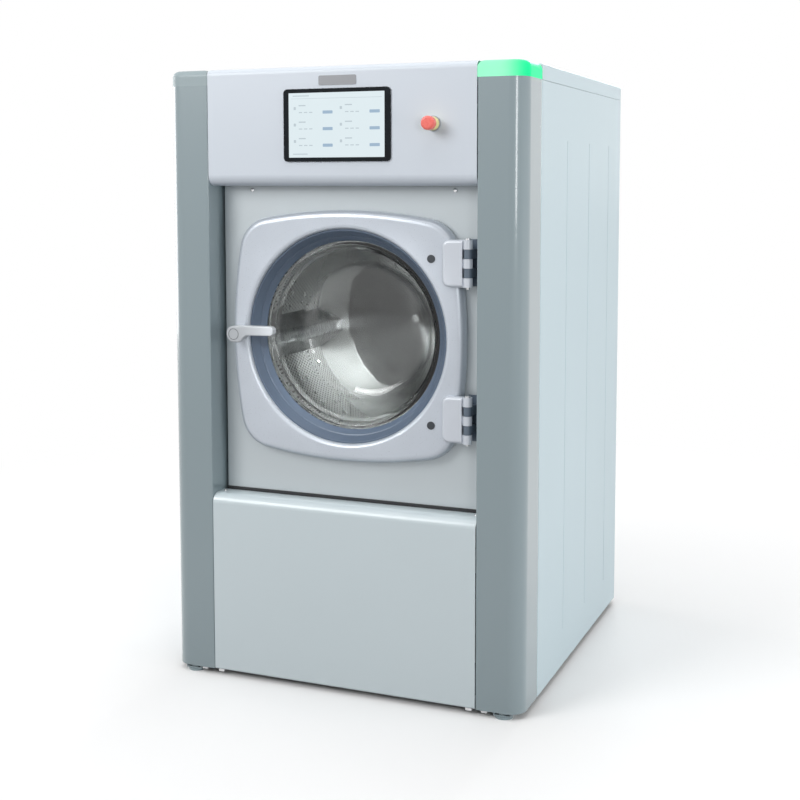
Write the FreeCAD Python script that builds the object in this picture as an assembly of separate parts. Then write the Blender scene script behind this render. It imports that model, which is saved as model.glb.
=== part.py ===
import FreeCAD, Part
import math
import os

# Commercial washing machine: cabinet, suspended tub, drum, belt drive and door.
# Millimetres, +Z up, front towards -Y, origin at the middle of the floor.

V = FreeCAD.Vector

# Cabinet
WIDTH = 860.0
DEPTH = 870.0
HEIGHT = 1410.0
SHEET = 1.5
SEAM = 0.8
RUNNING_FIT = 0.05
CLEARANCE = 0.4
SKIRT_GAP = 14.0
BEND = 4.0
FLANGE = 16.0

# Pillars and their caps
PILLAR_WIDTH = 106.0
PILLAR_DEPTH = 118.0
PILLAR_CORNER = 36.0
CAP_HEIGHT = 35.0
CAP_EDGE = 15.0
CAP_WALL = 4.0
CAP_TOP_WALL = 9.0
NICHE_DEPTH = 60.0

# Frame and feet
TUBE_WIDTH = 40.0
TUBE_HEIGHT = 60.0
TUBE_WALL = 3.0
FOOT_SIDE_INSET = 46.0
FOOT_INSET = 20.0
FOOT_HEIGHT = 5.0
FOOT_RADIUS = 20.0
FOOT_STEM = 8.0
NUT_RADIUS = 14.0
NUT_HEIGHT = 10.0
POST_LEG = 36.0
CROSS_INSET = 95.0
UPPER_DROP = 5.0

# Front panels
PANEL_SIDE_GAP = 0.8
CONTROL_HEIGHT = 262.0
CONTROL_TOP_ROLL = 14.0
CONTROL_LOW_ROLL = 24.0
CONTROL_RETURN = 50.0
LEDGE_HEIGHT = 434.0
LEDGE_ROLL = 22.0
LEDGE_DEPTH = 54.0
CREASE_COUNT = 3
CREASE_WIDTH = 3.0
CREASE_DEPTH = 0.6
CREASE_BOTTOM = 100.0
CREASE_DROP = 160.0
CREASE_PITCH = 203.0
CREASE_SETBACK = 329.0

# Display and emergency stop
DISPLAY_WIDTH = 257.0
DISPLAY_HEIGHT = 159.0
DISPLAY_THICK = 4.0
DISPLAY_CORNER = 9.0
DISPLAY_DROP = 129.0
SCREEN_WIDTH = 230.0
SCREEN_HEIGHT = 141.0
SCREEN_THICK = 1.0
STOP_SIDE_INSET = 98.0
STOP_DROP = 130.0
STOP_REACH = 40.0
STOP_TRAVEL = 3.5
STOP_HEAD_RADIUS = 15.0
STOP_HEAD_THICK = 16.0
STOP_HEAD_DOME = 5.3
STOP_COLLAR_RADIUS = 14.5
STOP_RING_RADIUS = 16.5
STOP_RING_THICK = 4.0
STOP_BARREL = 11.0
STOP_STEM = 5.0
CONTACT_WIDTH = 40.0
CONTACT_HEIGHT = 48.0

# Tub, drum and their axis
AXIS_RISE = 20.0
TUB_SIDE_GAP = 49.0
TUB_TOP_GAP = 138.0
TUB_WALL = 3.0
TUB_FRONT_GAP = 53.0
TUB_REAR_GAP = 260.0
TUB_BACK_THICK = 6.0
TUB_TRAVEL = 8.0
MOUTH_STEP = 25.0
MOUTH_WALL = 3.0
DRUM_GAP = 26.0
DRUM_WALL = 3.0
DRUM_FRONT_GAP = 19.0
DRUM_BACK_GAP = 12.0
DRUM_MOUTH_STEP = 19.0
LIP_DEPTH = 16.0
CONE_MARGIN = 108.0
CONE_RISE = 115.0
CONE_TIP = 40.0
CONE_BLEND = 24.0
LIFTER_COUNT = 3
LIFTER_HEIGHT = 80.0
LIFTER_BASE = 120.0
LIFTER_CREST = 34.0
LIFTER_ANGLE = 172.0
LIFTER_ROUND = 0.8

# Drive
SHAFT_RADIUS = 30.0
SHAFT_REAR_GAP = 40.0
SEAL_RADIUS = 45.0
HUB_RADIUS = 60.0
SPIDER_ARM = 64.0
BEARING_RADIUS = 62.0
BEARING_WIDTH = 30.0
HOUSING_RADIUS = 80.0
HOUSING_FLANGE_RADIUS = 150.0
HOUSING_REAR_GAP = 105.0
RIB_COUNT = 6
PULLEY_REAR_GAP = 90.0
PULLEY_WIDTH = 40.0
PULLEY_HOLES = 5
PULLEY_HOLE_RADIUS = 38.0
DRUM_PULLEY_RADIUS = 190.0
MOTOR_PULLEY_RADIUS = 40.0
BELT_THICK = 6.0
BELT_SIDE = 5.0
MOTOR_X = 170.0
MOTOR_DROP = 70.0
MOTOR_RADIUS = 75.0
MOTOR_FLANGE_RADIUS = 90.0
MOTOR_REAR_GAP = 135.0
MOTOR_SHAFT = 14.0
MOTOR_RIBS = 16

# Suspension
CRADLE_DROP = 130.0
CRADLE_TUBE = 40.0
CRADLE_FRONT_GAP = 12.0
CRADLE_REAR_REACH = 40.0
SADDLE_FRONT_GAP = 92.0
SADDLE_REAR_GAP = 139.0
SADDLE_THICK = 6.0
SADDLE_RISE = 120.0
SPRING_INSET = 45.0
SPRING_RADIUS = 31.0
SPRING_WIRE = 5.0
SPRING_TURNS = 4
SEAT_HEIGHT = 10.0
DAMPER_RADIUS = 16.0
DAMPER_ROD = 6.0
DAMPER_DROP = 85.0

# Door
DOOR_SIDE_GAP = 40.0
DOOR_TOP_GAP = 73.0
DOOR_BOW = 1100.0
DOOR_CORNER = 80.0
DOOR_SETBACK = 30.0
DOOR_DEPTH = 27.0
DOOR_WALL = 4.0
DOOR_EDGE = 16.0
WINDOW_MARGIN = 42.0
WINDOW_LIP = 10.0
WINDOW_COLLAR = 12.0
RING_TAPER = 25.0
RING_DEPTH = 43.0
RING_WALL = 4.0
GLASS_THICK = 6.0
GLASS_DEPTH = 100.0
GLASS_TAPER = 63.0
GLASS_BEND = 40.0
PANEL_GAP = 6.0
GASKET_WIDTH = 13.0
HINGE_SIDE_STEP = 13.0
HINGE_SETBACK = 22.0
HINGE_PAD_SETBACK = 15.0
HINGE_PAD_REACH = 58.0
HINGE_TOP_MARGIN = 112.0
HINGE_LOW_MARGIN = 117.0
KNUCKLE_RADIUS = 10.0
KNUCKLE_LENGTH = 20.4
KNUCKLE_COUNT = 5
KNUCKLE_GAP = 0.4
HINGE_PIN = 4.0
HINGE_PIN_HEAD = 6.4
PAD_CORNER = 16.0
PAD_ROUND = 7.0
PLUG_SIDE_GAP = 29.5
PLUG_RADIUS = 9.0
PLUG_PROUD = 1.5
PLUG_TOP_STEP = 8.0
PLUG_LOW_STEP = 18.0
HANDLE_INSET = 24.0
HANDLE_REACH = 100.0
HANDLE_PROUD = 36.0
HANDLE_THICK = 17.0
HANDLE_BOSS = 19.0
HANDLE_ROUND = 9.0
HANDLE_NECK = 30.0
LEVER_TOP = 20.0
LEVER_LOW = 1.0
HANDLE_SPINDLE = 5.0
LATCH_REACH = 16.0
LATCH_DEPTH = 14.0

# Water
DRAIN_REAR_GAP = 50.0
DRAIN_PIPE = 38.0
DRAIN_WALL = 3.0
DRAIN_COLLAR = 43.0
DRAIN_BEND = 60.0
DRAIN_LINE_DROP = 90.0
DRAIN_HOSE_LENGTH = 90.0
DRAIN_HOSE_DROP = 52.0
FLAP_DROP = 58.0
FLAP_THICK = 3.0
FLAP_SPINDLE = 4.0
FLAP_REACH = 50.0
INLET_RADIUS = 13.2
INLET_COLLAR = 17.0
INLET_BORE = 8.0
INLET_PITCH = 90.0
INLET_COUNT = 3
COLLAR_PROUD = 6.0
FITTING_REACH = 40.0
FILL_REAR_GAP = 75.0
FILL_RADIUS = 25.0
FILL_WALL = 3.0
FILL_RISE = 14.0
FILL_LENGTH = 34.0
MANIFOLD_HEIGHT = 60.0
VALVE_DEPTH = 70.0
VALVE_HEIGHT = 70.0
HEATER_STEP = 14.0
HEATER_SPREAD = 4.0
HEATER_RADIUS = 4.5
HEATER_FRONT_GAP = 122.0

# Rear wall and electrics
SERVICE_DROP = 371.0
VENT_COUNT = 6
VENT_DROP = 144.0
VENT_PITCH = 16.0
VENT_WIDTH = 120.0
VENT_SLOT = 5.0
BOX_SIDE_GAP = 14.0
BOX_GAP = 8.0
BOX_FIN_ROOM = 12.0
BOX_HEIGHT = 105.0
FIN_COUNT = 12
FIN_PITCH = 12.0

# Places that follow from the cabinet
Y_FRONT = -DEPTH / 2
Y_REAR = DEPTH / 2
X_SIDE = WIDTH / 2
PILLAR_IN = X_SIDE - PILLAR_WIDTH
CAP_BOTTOM = HEIGHT - CAP_HEIGHT
UPPER_TOP = CAP_BOTTOM - UPPER_DROP
UPPER_BOTTOM = UPPER_TOP - TUBE_WIDTH
FOOT_X = X_SIDE - FOOT_SIDE_INSET
RAIL_BOTTOM = FOOT_HEIGHT
RAIL_TOP = FOOT_HEIGHT + TUBE_HEIGHT
PANEL_HALF = PILLAR_IN - PANEL_SIDE_GAP
PANEL_Y = Y_FRONT + NICHE_DEPTH
CONTROL_BOTTOM = HEIGHT - CONTROL_HEIGHT
CREASE_TOP = HEIGHT - CREASE_DROP
DISPLAY_Z = HEIGHT - DISPLAY_DROP
STOP_X = PILLAR_IN - STOP_SIDE_INSET
STOP_Z = HEIGHT - STOP_DROP
STOP_COLLAR_THICK = STOP_REACH - STOP_HEAD_THICK - STOP_TRAVEL - CLEARANCE - STOP_RING_THICK
SERVICE_TOP = CAP_BOTTOM - SERVICE_DROP
VENT_BOTTOM = SERVICE_TOP - VENT_DROP
BOX_REACH = PILLAR_IN - BOX_SIDE_GAP
BOX_WIDTH = BOX_REACH - BOX_GAP - BOX_FIN_ROOM

# Places of the door, which hangs in the niche between the pillars
AXIS_Z = (LEDGE_HEIGHT + CONTROL_BOTTOM) / 2 + AXIS_RISE
NICHE_HALF = (CONTROL_BOTTOM - LEDGE_HEIGHT) / 2
DOOR_HALF = min(PILLAR_IN - DOOR_SIDE_GAP, NICHE_HALF - DOOR_TOP_GAP)
DOOR_Y = Y_FRONT + DOOR_SETBACK
DOOR_BACK_Y = DOOR_Y + DOOR_DEPTH
WINDOW_RADIUS = DOOR_HALF - WINDOW_MARGIN
RING_FRONT_RADIUS = WINDOW_RADIUS - RING_WALL
RING_BACK_RADIUS = RING_FRONT_RADIUS - RING_TAPER
RING_BACK_Y = DOOR_Y + RING_DEPTH
GLASS_FLOOR = RING_BACK_RADIUS - GLASS_TAPER
HINGE_X = DOOR_HALF + HINGE_SIDE_STEP
HINGE_Y = Y_FRONT + HINGE_SETBACK
HINGE_PAD_LEFT = HINGE_X - HINGE_PAD_REACH
HINGE_TOP_Z = AXIS_Z + DOOR_HALF - HINGE_TOP_MARGIN
HINGE_LOW_Z = AXIS_Z - DOOR_HALF + HINGE_LOW_MARGIN
PLUG_X = HINGE_PAD_LEFT - PLUG_SIDE_GAP
HANDLE_X = HANDLE_INSET - DOOR_HALF

# Places of the tub and all that hangs on it
TUB_RADIUS = min(X_SIDE - TUB_SIDE_GAP, UPPER_BOTTOM - AXIS_Z - TUB_TOP_GAP)
TUB_BOTTOM = AXIS_Z - TUB_RADIUS
TUB_FRONT_Y = PANEL_Y + TUB_FRONT_GAP
TUB_BACK_Y = Y_REAR - TUB_REAR_GAP
MOUTH_RADIUS = RING_BACK_RADIUS + MOUTH_STEP
DRUM_RADIUS = TUB_RADIUS - DRUM_GAP
DRUM_FRONT_Y = TUB_FRONT_Y + DRUM_FRONT_GAP
DRUM_BACK_Y = TUB_BACK_Y - DRUM_BACK_GAP
DRUM_MOUTH = MOUTH_RADIUS + DRUM_MOUTH_STEP
CONE_RADIUS = DRUM_RADIUS - CONE_MARGIN
SHAFT_END_Y = Y_REAR - SHAFT_REAR_GAP
HOUSING_END_Y = Y_REAR - HOUSING_REAR_GAP
PULLEY_FRONT_Y = Y_REAR - PULLEY_REAR_GAP
PULLEY_BACK_Y = PULLEY_FRONT_Y + PULLEY_WIDTH
MOTOR_Z = TUB_BOTTOM - MOTOR_DROP
MOTOR_END_Y = Y_REAR - MOTOR_REAR_GAP
CRADLE_HEIGHT = TUB_BOTTOM - CRADLE_DROP
CRADLE_FRONT_Y = TUB_FRONT_Y + CRADLE_FRONT_GAP
CRADLE_BACK_Y = TUB_BACK_Y + CRADLE_REAR_REACH
SADDLE_FRONT_Y = TUB_FRONT_Y + SADDLE_FRONT_GAP
SADDLE_BACK_Y = TUB_BACK_Y - SADDLE_REAR_GAP
SPRING_FRONT_Y = CRADLE_FRONT_Y + SPRING_INSET
SPRING_BACK_Y = CRADLE_BACK_Y - SPRING_INSET
DAMPER_Y = (SPRING_FRONT_Y + SPRING_BACK_Y) / 2
DAMPER_TOP = CRADLE_HEIGHT - DAMPER_DROP
DRAIN_Y = TUB_BACK_Y - DRAIN_REAR_GAP
FLAP_Z = TUB_BOTTOM - FLAP_DROP
DRAIN_HOSE_HIGH = FLAP_Z - DRAIN_HOSE_DROP
DRAIN_HOSE_LOW = DRAIN_HOSE_HIGH - DRAIN_HOSE_LENGTH
DRAIN_LINE_Z = DRAIN_HOSE_LOW - DRAIN_LINE_DROP
FILL_Y = TUB_BACK_Y - FILL_REAR_GAP
FILL_LOW = AXIS_Z + TUB_RADIUS + FILL_RISE
FILL_HIGH = FILL_LOW + FILL_LENGTH
INLET_Z = FILL_HIGH + VALVE_HEIGHT / 2
HEATER_END_Y = TUB_FRONT_Y + HEATER_FRONT_GAP


def flat(u, v):
    """Plan view point: u along X, v along Y."""
    return V(u, v, 0)


def upright(u, v):
    """Side view point: u along Y, v along Z."""
    return V(0, u, v)


def facing(u, v):
    """Front view point: u along X, v along Z."""
    return V(u, 0, v)


def radial(u, v):
    """Half section point: u the radius from the drum axis, v along Y."""
    return V(u, v, AXIS_Z)


def corner_arc(before, corner, after, radius):
    """Start, middle and end of the arc that rounds one corner of an outline."""
    into = (before - corner).normalize()
    out = (after - corner).normalize()
    half = into.getAngle(out) / 2
    reach = radius / math.tan(half)
    bisector = (into + out).normalize()
    middle = corner + bisector * (radius / math.sin(half) - radius)
    return corner + into * reach, middle, corner + out * reach


def outline(points, lift):
    """Face bounded by a closed outline of (u, v, corner radius) points."""
    places = [lift(u, v) for u, v, _ in points]
    count = len(points)
    starts = []
    edges = []
    for index, (_, _, radius) in enumerate(points):
        corner = places[index]
        if radius <= 0:
            starts.append((corner, corner))
            continue
        first, middle, last = corner_arc(places[index - 1], corner, places[(index + 1) % count], radius)
        edges.append(Part.Arc(first, middle, last).toShape())
        starts.append((first, last))
    for index in range(count):
        tail = starts[index][1]
        head = starts[(index + 1) % count][0]
        if tail.distanceToPoint(head) > 1e-6:
            edges.append(Part.makeLine(tail, head))
    return Part.Face(Part.Wire(Part.__sortEdges__(edges)))


def sheet_outline(path, thickness):
    """Closed outline of a bent sheet: the path and its copy on the left side."""
    other = []
    last = len(path) - 1
    for index, (u, v, radius) in enumerate(path):
        here = V(u, v, 0)
        into = here - V(*path[index - 1][:2], 0) if index else V(*path[1][:2], 0) - here
        out = V(*path[index + 1][:2], 0) - here if index < last else into
        into.normalize()
        out.normalize()
        left_in = V(-into.y, into.x, 0)
        left_out = V(-out.y, out.x, 0)
        shift = (left_in + left_out) * (thickness / (1 + left_in.dot(left_out)))
        turn = into.x * out.y - into.y * out.x
        inside = radius - thickness if turn > 0 else radius + thickness
        other.append((u + shift.x, v + shift.y, max(inside, 0) if radius > 0 else 0))
    return list(path) + other[::-1]


def block(x0, x1, y0, y1, z0, z1):
    return Part.makeBox(x1 - x0, y1 - y0, z1 - z0, V(x0, y0, z0))


def rod_y(radius, y0, y1, x=0.0, z=AXIS_Z):
    return Part.makeCylinder(radius, y1 - y0, V(x, y0, z), V(0, 1, 0))


def rod_z(radius, z0, z1, x, y):
    return Part.makeCylinder(radius, z1 - z0, V(x, y, z0))


def rod_x(radius, x0, x1, y, z):
    return Part.makeCylinder(radius, x1 - x0, V(x0, y, z), V(1, 0, 0))


def ring_y(outer, inner, y0, y1):
    return rod_y(outer, y0, y1).cut(rod_y(inner, y0, y1))


def turned(points):
    """Solid of revolution about the drum axis from (radius, y, corner radius) points."""
    return outline(points, radial).revolve(V(0, 0, AXIS_Z), V(0, 1, 0), 360)


def mirrored(shape):
    return shape.mirror(V(0, 0, 0), V(1, 0, 0))


def group(shapes):
    return Part.makeCompound(shapes)


def rim_edges(shape, pick):
    """Edges of a shape whose whole length satisfies the given test on its box."""
    return [edge for edge in shape.Edges if pick(edge.BoundBox)]


def base_rail(side):
    """Square tube along one side, with the seats of its two springs and its damper."""
    x0 = side * FOOT_X - TUBE_WIDTH / 2
    x1 = side * FOOT_X + TUBE_WIDTH / 2
    end = DEPTH / 2 - SHEET - BEND
    rail = block(x0, x1, -end, end, RAIL_BOTTOM, RAIL_TOP)
    bore = block(x0 + TUBE_WALL, x1 - TUBE_WALL, -end, end, RAIL_BOTTOM + TUBE_WALL, RAIL_TOP - TUBE_WALL)
    rail = rail.cut(bore)
    x = side * FOOT_X
    seat = SPRING_RADIUS - SPRING_WIRE - SEAM
    for y in (SPRING_FRONT_Y, SPRING_BACK_Y):
        rail = rail.fuse(rod_z(seat, RAIL_TOP, RAIL_TOP + SEAT_HEIGHT, x, y))
    for y in foot_places():
        rail = rail.cut(rod_z(FOOT_STEM + CLEARANCE, RAIL_BOTTOM, RAIL_BOTTOM + TUBE_WALL, x, y))
    return rail.removeSplitter()


def foot_places():
    return (Y_FRONT + FOOT_INSET, Y_REAR - FOOT_INSET)


def base_crossmembers():
    """Front and rear tubes between the side rails."""
    half = FOOT_X - TUBE_WIDTH / 2
    bars = []
    for end in (Y_FRONT, Y_REAR):
        inward = -math.copysign(1, end)
        y0, y1 = sorted((end + inward * CROSS_INSET, end + inward * (CROSS_INSET + TUBE_WIDTH)))
        bar = block(-half, half, y0, y1, RAIL_BOTTOM, RAIL_TOP)
        bars.append(bar.cut(block(-half, half, y0 + TUBE_WALL, y1 - TUBE_WALL,
                                  RAIL_BOTTOM + TUBE_WALL, RAIL_TOP - TUBE_WALL)))
    return group(bars)


def levelling_feet():
    """Four low screw feet, each held by a lock nut inside its rail."""
    pieces = []
    for x in (-FOOT_X, FOOT_X):
        for y in foot_places():
            pad = rod_z(FOOT_RADIUS, 0, RAIL_BOTTOM, x, y)
            stem = rod_z(FOOT_STEM, 0, RAIL_BOTTOM + TUBE_HEIGHT / 2, x, y)
            pieces.append(pad.fuse(stem).removeSplitter())
            nut = Part.Face(Part.makePolygon(hexagon(x, y, RAIL_BOTTOM + TUBE_WALL)))
            nut = nut.extrude(V(0, 0, NUT_HEIGHT))
            pieces.append(nut.cut(rod_z(FOOT_STEM + RUNNING_FIT, 0, RAIL_TOP, x, y)))
    return group(pieces)


def hexagon(x, y, z):
    turns = [math.radians(60 * step) for step in range(7)]
    return [V(x + NUT_RADIUS * math.cos(turn), y + NUT_RADIUS * math.sin(turn), z) for turn in turns]


def pillar_right():
    """Corner pillar bent from sheet: niche wall, front, rounded corner and side return."""
    path = [
        (PILLAR_IN, PANEL_Y + LEDGE_DEPTH / 2, 0),
        (PILLAR_IN, Y_FRONT, BEND),
        (X_SIDE, Y_FRONT, PILLAR_CORNER),
        (X_SIDE, Y_FRONT + PILLAR_DEPTH - SEAM, BEND),
        (X_SIDE - FLANGE, Y_FRONT + PILLAR_DEPTH - SEAM, 0),
    ]
    face = outline(sheet_outline(path, SHEET), flat)
    face.translate(V(0, 0, SKIRT_GAP))
    return face.extrude(V(0, 0, CAP_BOTTOM - SKIRT_GAP))


def cap_plan(inset):
    """Plan of a pillar cap, drawn in by the given wall."""
    return outline([
        (PILLAR_IN + inset, Y_FRONT + PILLAR_DEPTH - SEAM - inset, 0),
        (PILLAR_IN + inset, Y_FRONT + inset, 0),
        (X_SIDE - inset, Y_FRONT + inset, PILLAR_CORNER - inset),
        (X_SIDE - inset, Y_FRONT + PILLAR_DEPTH - SEAM - inset, 0),
    ], flat)


def cap_right():
    """Hollow moulded cap on a pillar, its top edge rounded."""
    body = cap_plan(0).extrude(V(0, 0, CAP_HEIGHT))
    top = rim_edges(body, lambda box: box.ZMin > CAP_HEIGHT - SEAM / 2)
    body = body.makeFillet(CAP_EDGE, top)
    body = body.cut(cap_plan(CAP_WALL).extrude(V(0, 0, CAP_HEIGHT - CAP_TOP_WALL)))
    body.translate(V(0, 0, CAP_BOTTOM))
    return body


def rear_posts():
    """Angle posts at the rear corners, standing on the base rails."""
    x1 = FOOT_X + TUBE_WIDTH / 2
    y1 = Y_REAR - SHEET * 2
    path = [
        (x1 - POST_LEG, y1, 0),
        (x1, y1, BEND),
        (x1, y1 - POST_LEG, 0),
    ]
    face = outline(sheet_outline(path, -TUBE_WALL), flat)
    face.translate(V(0, 0, RAIL_TOP))
    post = face.extrude(V(0, 0, UPPER_BOTTOM - RAIL_TOP))
    return [post, mirrored(post)]


def upper_frame():
    """Welded upper frame: rear posts, two side tubes and two cross tubes."""
    x1 = FOOT_X + TUBE_WIDTH / 2
    x0 = x1 - TUBE_WIDTH
    front = Y_FRONT + PILLAR_DEPTH
    side = block(x0, x1, front, Y_REAR - SHEET * 2, UPPER_BOTTOM, UPPER_TOP)
    bars = [side, mirrored(side)]
    for y in (front + TUBE_WIDTH, FILL_Y + TUBE_WIDTH * 2):
        bars.append(block(-x0, x0, y, y + TUBE_WIDTH, UPPER_BOTTOM, UPPER_TOP))
    return bars[0].fuse(bars[1:] + rear_posts()).removeSplitter()


def top_cover():
    """Shallow folded tray over the cabinet behind the pillars."""
    front = Y_FRONT + PILLAR_DEPTH
    tray = block(-X_SIDE, X_SIDE, front, Y_REAR, CAP_BOTTOM, HEIGHT)
    edges = rim_edges(tray, lambda box: box.ZMin > HEIGHT - SEAM or box.ZLength > CAP_HEIGHT - SEAM)
    tray = tray.makeFillet(BEND, edges)
    half = X_SIDE - SHEET
    hollow = block(-half, half, front + SHEET, Y_REAR - SHEET, CAP_BOTTOM, HEIGHT - SHEET)
    corners = rim_edges(hollow, lambda box: box.ZLength > CAP_HEIGHT / 2)
    return tray.cut(hollow.makeFillet(BEND - SHEET, corners))


def side_panel_right():
    """Side sheet with folded front and rear flanges and three pressed creases."""
    front = Y_FRONT + PILLAR_DEPTH
    path = [
        (X_SIDE - FLANGE, front, 0),
        (X_SIDE, front, BEND),
        (X_SIDE, Y_REAR, BEND),
        (X_SIDE - FLANGE, Y_REAR, 0),
    ]
    face = outline(sheet_outline(path, SHEET), flat)
    face.translate(V(0, 0, SKIRT_GAP))
    panel = face.extrude(V(0, 0, CAP_BOTTOM - SEAM - SKIRT_GAP))
    for index in range(CREASE_COUNT):
        y = Y_FRONT + CREASE_SETBACK + index * CREASE_PITCH
        panel = panel.cut(block(X_SIDE - CREASE_DEPTH, X_SIDE, y - CREASE_WIDTH / 2, y + CREASE_WIDTH / 2,
                                CREASE_BOTTOM, CREASE_TOP))
    return panel


def rear_sheet(z0, z1, y1):
    half = X_SIDE - SHEET - BEND
    return block(-half, half, y1 - SHEET, y1, z0, z1)


def rear_panel():
    """Upper rear sheet with the holes of the water inlets."""
    panel = rear_sheet(SERVICE_TOP + SEAM, CAP_BOTTOM - SEAM, Y_REAR - SHEET)
    for x in inlet_places():
        panel = panel.cut(rod_y(INLET_COLLAR + CLEARANCE, Y_REAR - DEPTH / 4, Y_REAR, x, INLET_Z))
    return panel


def rear_service_cover():
    """Lower rear sheet, taken off to reach the belt, with vent slots and the drain hole."""
    cover = rear_sheet(SKIRT_GAP + SEAM, SERVICE_TOP, Y_REAR - SHEET)
    cover = cover.cut(rod_y(DRAIN_COLLAR + CLEARANCE, Y_REAR - DEPTH / 4, Y_REAR, 0, DRAIN_LINE_Z))
    slots = []
    for index in range(VENT_COUNT):
        z = VENT_BOTTOM + index * VENT_PITCH
        slots.append(block(-VENT_WIDTH / 2, VENT_WIDTH / 2, Y_REAR - DEPTH / 4, Y_REAR, z, z + VENT_SLOT))
    return cover.cut(slots)


def control_panel():
    """Folded fascia: top, front, rolled lower edge and return."""
    path = [
        (Y_FRONT + PILLAR_DEPTH - SEAM, HEIGHT, 0),
        (Y_FRONT, HEIGHT, CONTROL_TOP_ROLL),
        (Y_FRONT, CONTROL_BOTTOM, CONTROL_LOW_ROLL),
        (Y_FRONT + CONTROL_RETURN, CONTROL_BOTTOM, 0),
    ]
    face = outline(sheet_outline(path, SHEET), upright)
    face.translate(V(-PANEL_HALF, 0, 0))
    panel = face.extrude(V(2 * PANEL_HALF, 0, 0))
    return panel.cut(rod_y(STOP_BARREL + CLEARANCE, Y_FRONT - SEAM, Y_FRONT + BEND, STOP_X, STOP_Z))


def lower_panel():
    """Folded front skirt with a rolled ledge under the door."""
    path = [
        (Y_FRONT + LEDGE_DEPTH, LEDGE_HEIGHT, 0),
        (Y_FRONT, LEDGE_HEIGHT, LEDGE_ROLL),
        (Y_FRONT, SKIRT_GAP, BEND),
        (Y_FRONT + FLANGE, SKIRT_GAP, 0),
    ]
    face = outline(sheet_outline(path, SHEET), upright)
    face.translate(V(-PANEL_HALF, 0, 0))
    return face.extrude(V(2 * PANEL_HALF, 0, 0))


def rounded_plate(width, height, corner, y0, y1, x, z):
    half = width / 2
    rise = height / 2
    face = outline([
        (x - half, z - rise, corner),
        (x + half, z - rise, corner),
        (x + half, z + rise, corner),
        (x - half, z + rise, corner),
    ], facing)
    face.translate(V(0, y0, 0))
    return face.extrude(V(0, y1 - y0, 0))


def display_bezel():
    """Black glass front of the touch display, with a seat for the lit screen."""
    front = Y_FRONT - DISPLAY_THICK
    plate = rounded_plate(DISPLAY_WIDTH, DISPLAY_HEIGHT, DISPLAY_CORNER, front, Y_FRONT, 0, DISPLAY_Z)
    plate = plate.makeChamfer(SEAM, rim_edges(plate, lambda box: box.YMax < front + SEAM / 2))
    return plate.cut(display_screen())


def display_screen():
    front = Y_FRONT - DISPLAY_THICK
    return rounded_plate(SCREEN_WIDTH, SCREEN_HEIGHT, SEAM, front, front + SCREEN_THICK, 0, DISPLAY_Z)


def estop_base():
    """Grey ring on the fascia with the barrel and contact block behind it."""
    ring = rod_y(STOP_RING_RADIUS, Y_FRONT - STOP_RING_THICK, Y_FRONT, STOP_X, STOP_Z)
    ring = ring.makeFillet(SHEET, rim_edges(ring, lambda box: box.YMax < Y_FRONT - SEAM))
    barrel = rod_y(STOP_BARREL, Y_FRONT, Y_FRONT + STOP_REACH, STOP_X, STOP_Z)
    contact = rounded_plate(CONTACT_WIDTH, CONTACT_HEIGHT, BEND, Y_FRONT + STOP_REACH,
                            Y_FRONT + 2 * STOP_REACH, STOP_X, STOP_Z)
    bore = rod_y(STOP_STEM + RUNNING_FIT, Y_FRONT - STOP_RING_THICK, Y_FRONT + STOP_REACH, STOP_X, STOP_Z)
    return ring.fuse([barrel, contact]).cut(bore).removeSplitter()


def estop_collar():
    back = Y_FRONT - STOP_RING_THICK
    front = back - STOP_COLLAR_THICK
    collar = rod_y(STOP_COLLAR_RADIUS, front, back, STOP_X, STOP_Z)
    return collar.cut(rod_y(STOP_STEM + RUNNING_FIT, front, back, STOP_X, STOP_Z))


def estop_stem():
    """Plunger rod, with room behind it for its travel."""
    front = Y_FRONT - STOP_REACH + STOP_HEAD_THICK / 2
    return rod_y(STOP_STEM, front, Y_FRONT + STOP_REACH - STOP_TRAVEL - CLEARANCE, STOP_X, STOP_Z)


def estop_head():
    """Domed mushroom head, turned on its rod."""
    front = Y_FRONT - STOP_REACH
    head = rod_y(STOP_HEAD_RADIUS, front, front + STOP_HEAD_THICK, STOP_X, STOP_Z)
    head = head.makeFillet(STOP_HEAD_DOME, rim_edges(head, lambda box: box.YMax < front + SEAM))
    return head.cut(rod_y(STOP_STEM + RUNNING_FIT, front + STOP_HEAD_THICK / 2 - CLEARANCE,
                          front + STOP_HEAD_THICK, STOP_X, STOP_Z))


def control_box():
    """Sheet enclosure and finned motor drive hung under the cross tubes."""
    front = Y_FRONT + PILLAR_DEPTH + TUBE_WIDTH
    back = FILL_Y - TUBE_WIDTH
    low = UPPER_BOTTOM - BOX_HEIGHT
    boxes = []
    for x0 in (-BOX_REACH, BOX_GAP):
        box = block(x0, x0 + BOX_WIDTH, front, back, low, UPPER_BOTTOM)
        boxes.append(box.cut(block(x0 + SHEET, x0 + BOX_WIDTH - SHEET, front + SHEET, back - SHEET,
                                   low + SHEET, UPPER_BOTTOM - SHEET)))
    wall = BOX_GAP + BOX_WIDTH
    fins = []
    for index in range(FIN_COUNT):
        y = front + FIN_PITCH * (index + 1)
        fins.append(block(wall, wall + FIN_PITCH, y, y + TUBE_WALL, low + BEND, UPPER_BOTTOM - BEND))
    return group([boxes[0], boxes[1].fuse(fins)])


def inlet_places():
    return [(index - (INLET_COUNT - 1) / 2) * INLET_PITCH for index in range(INLET_COUNT)]


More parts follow.
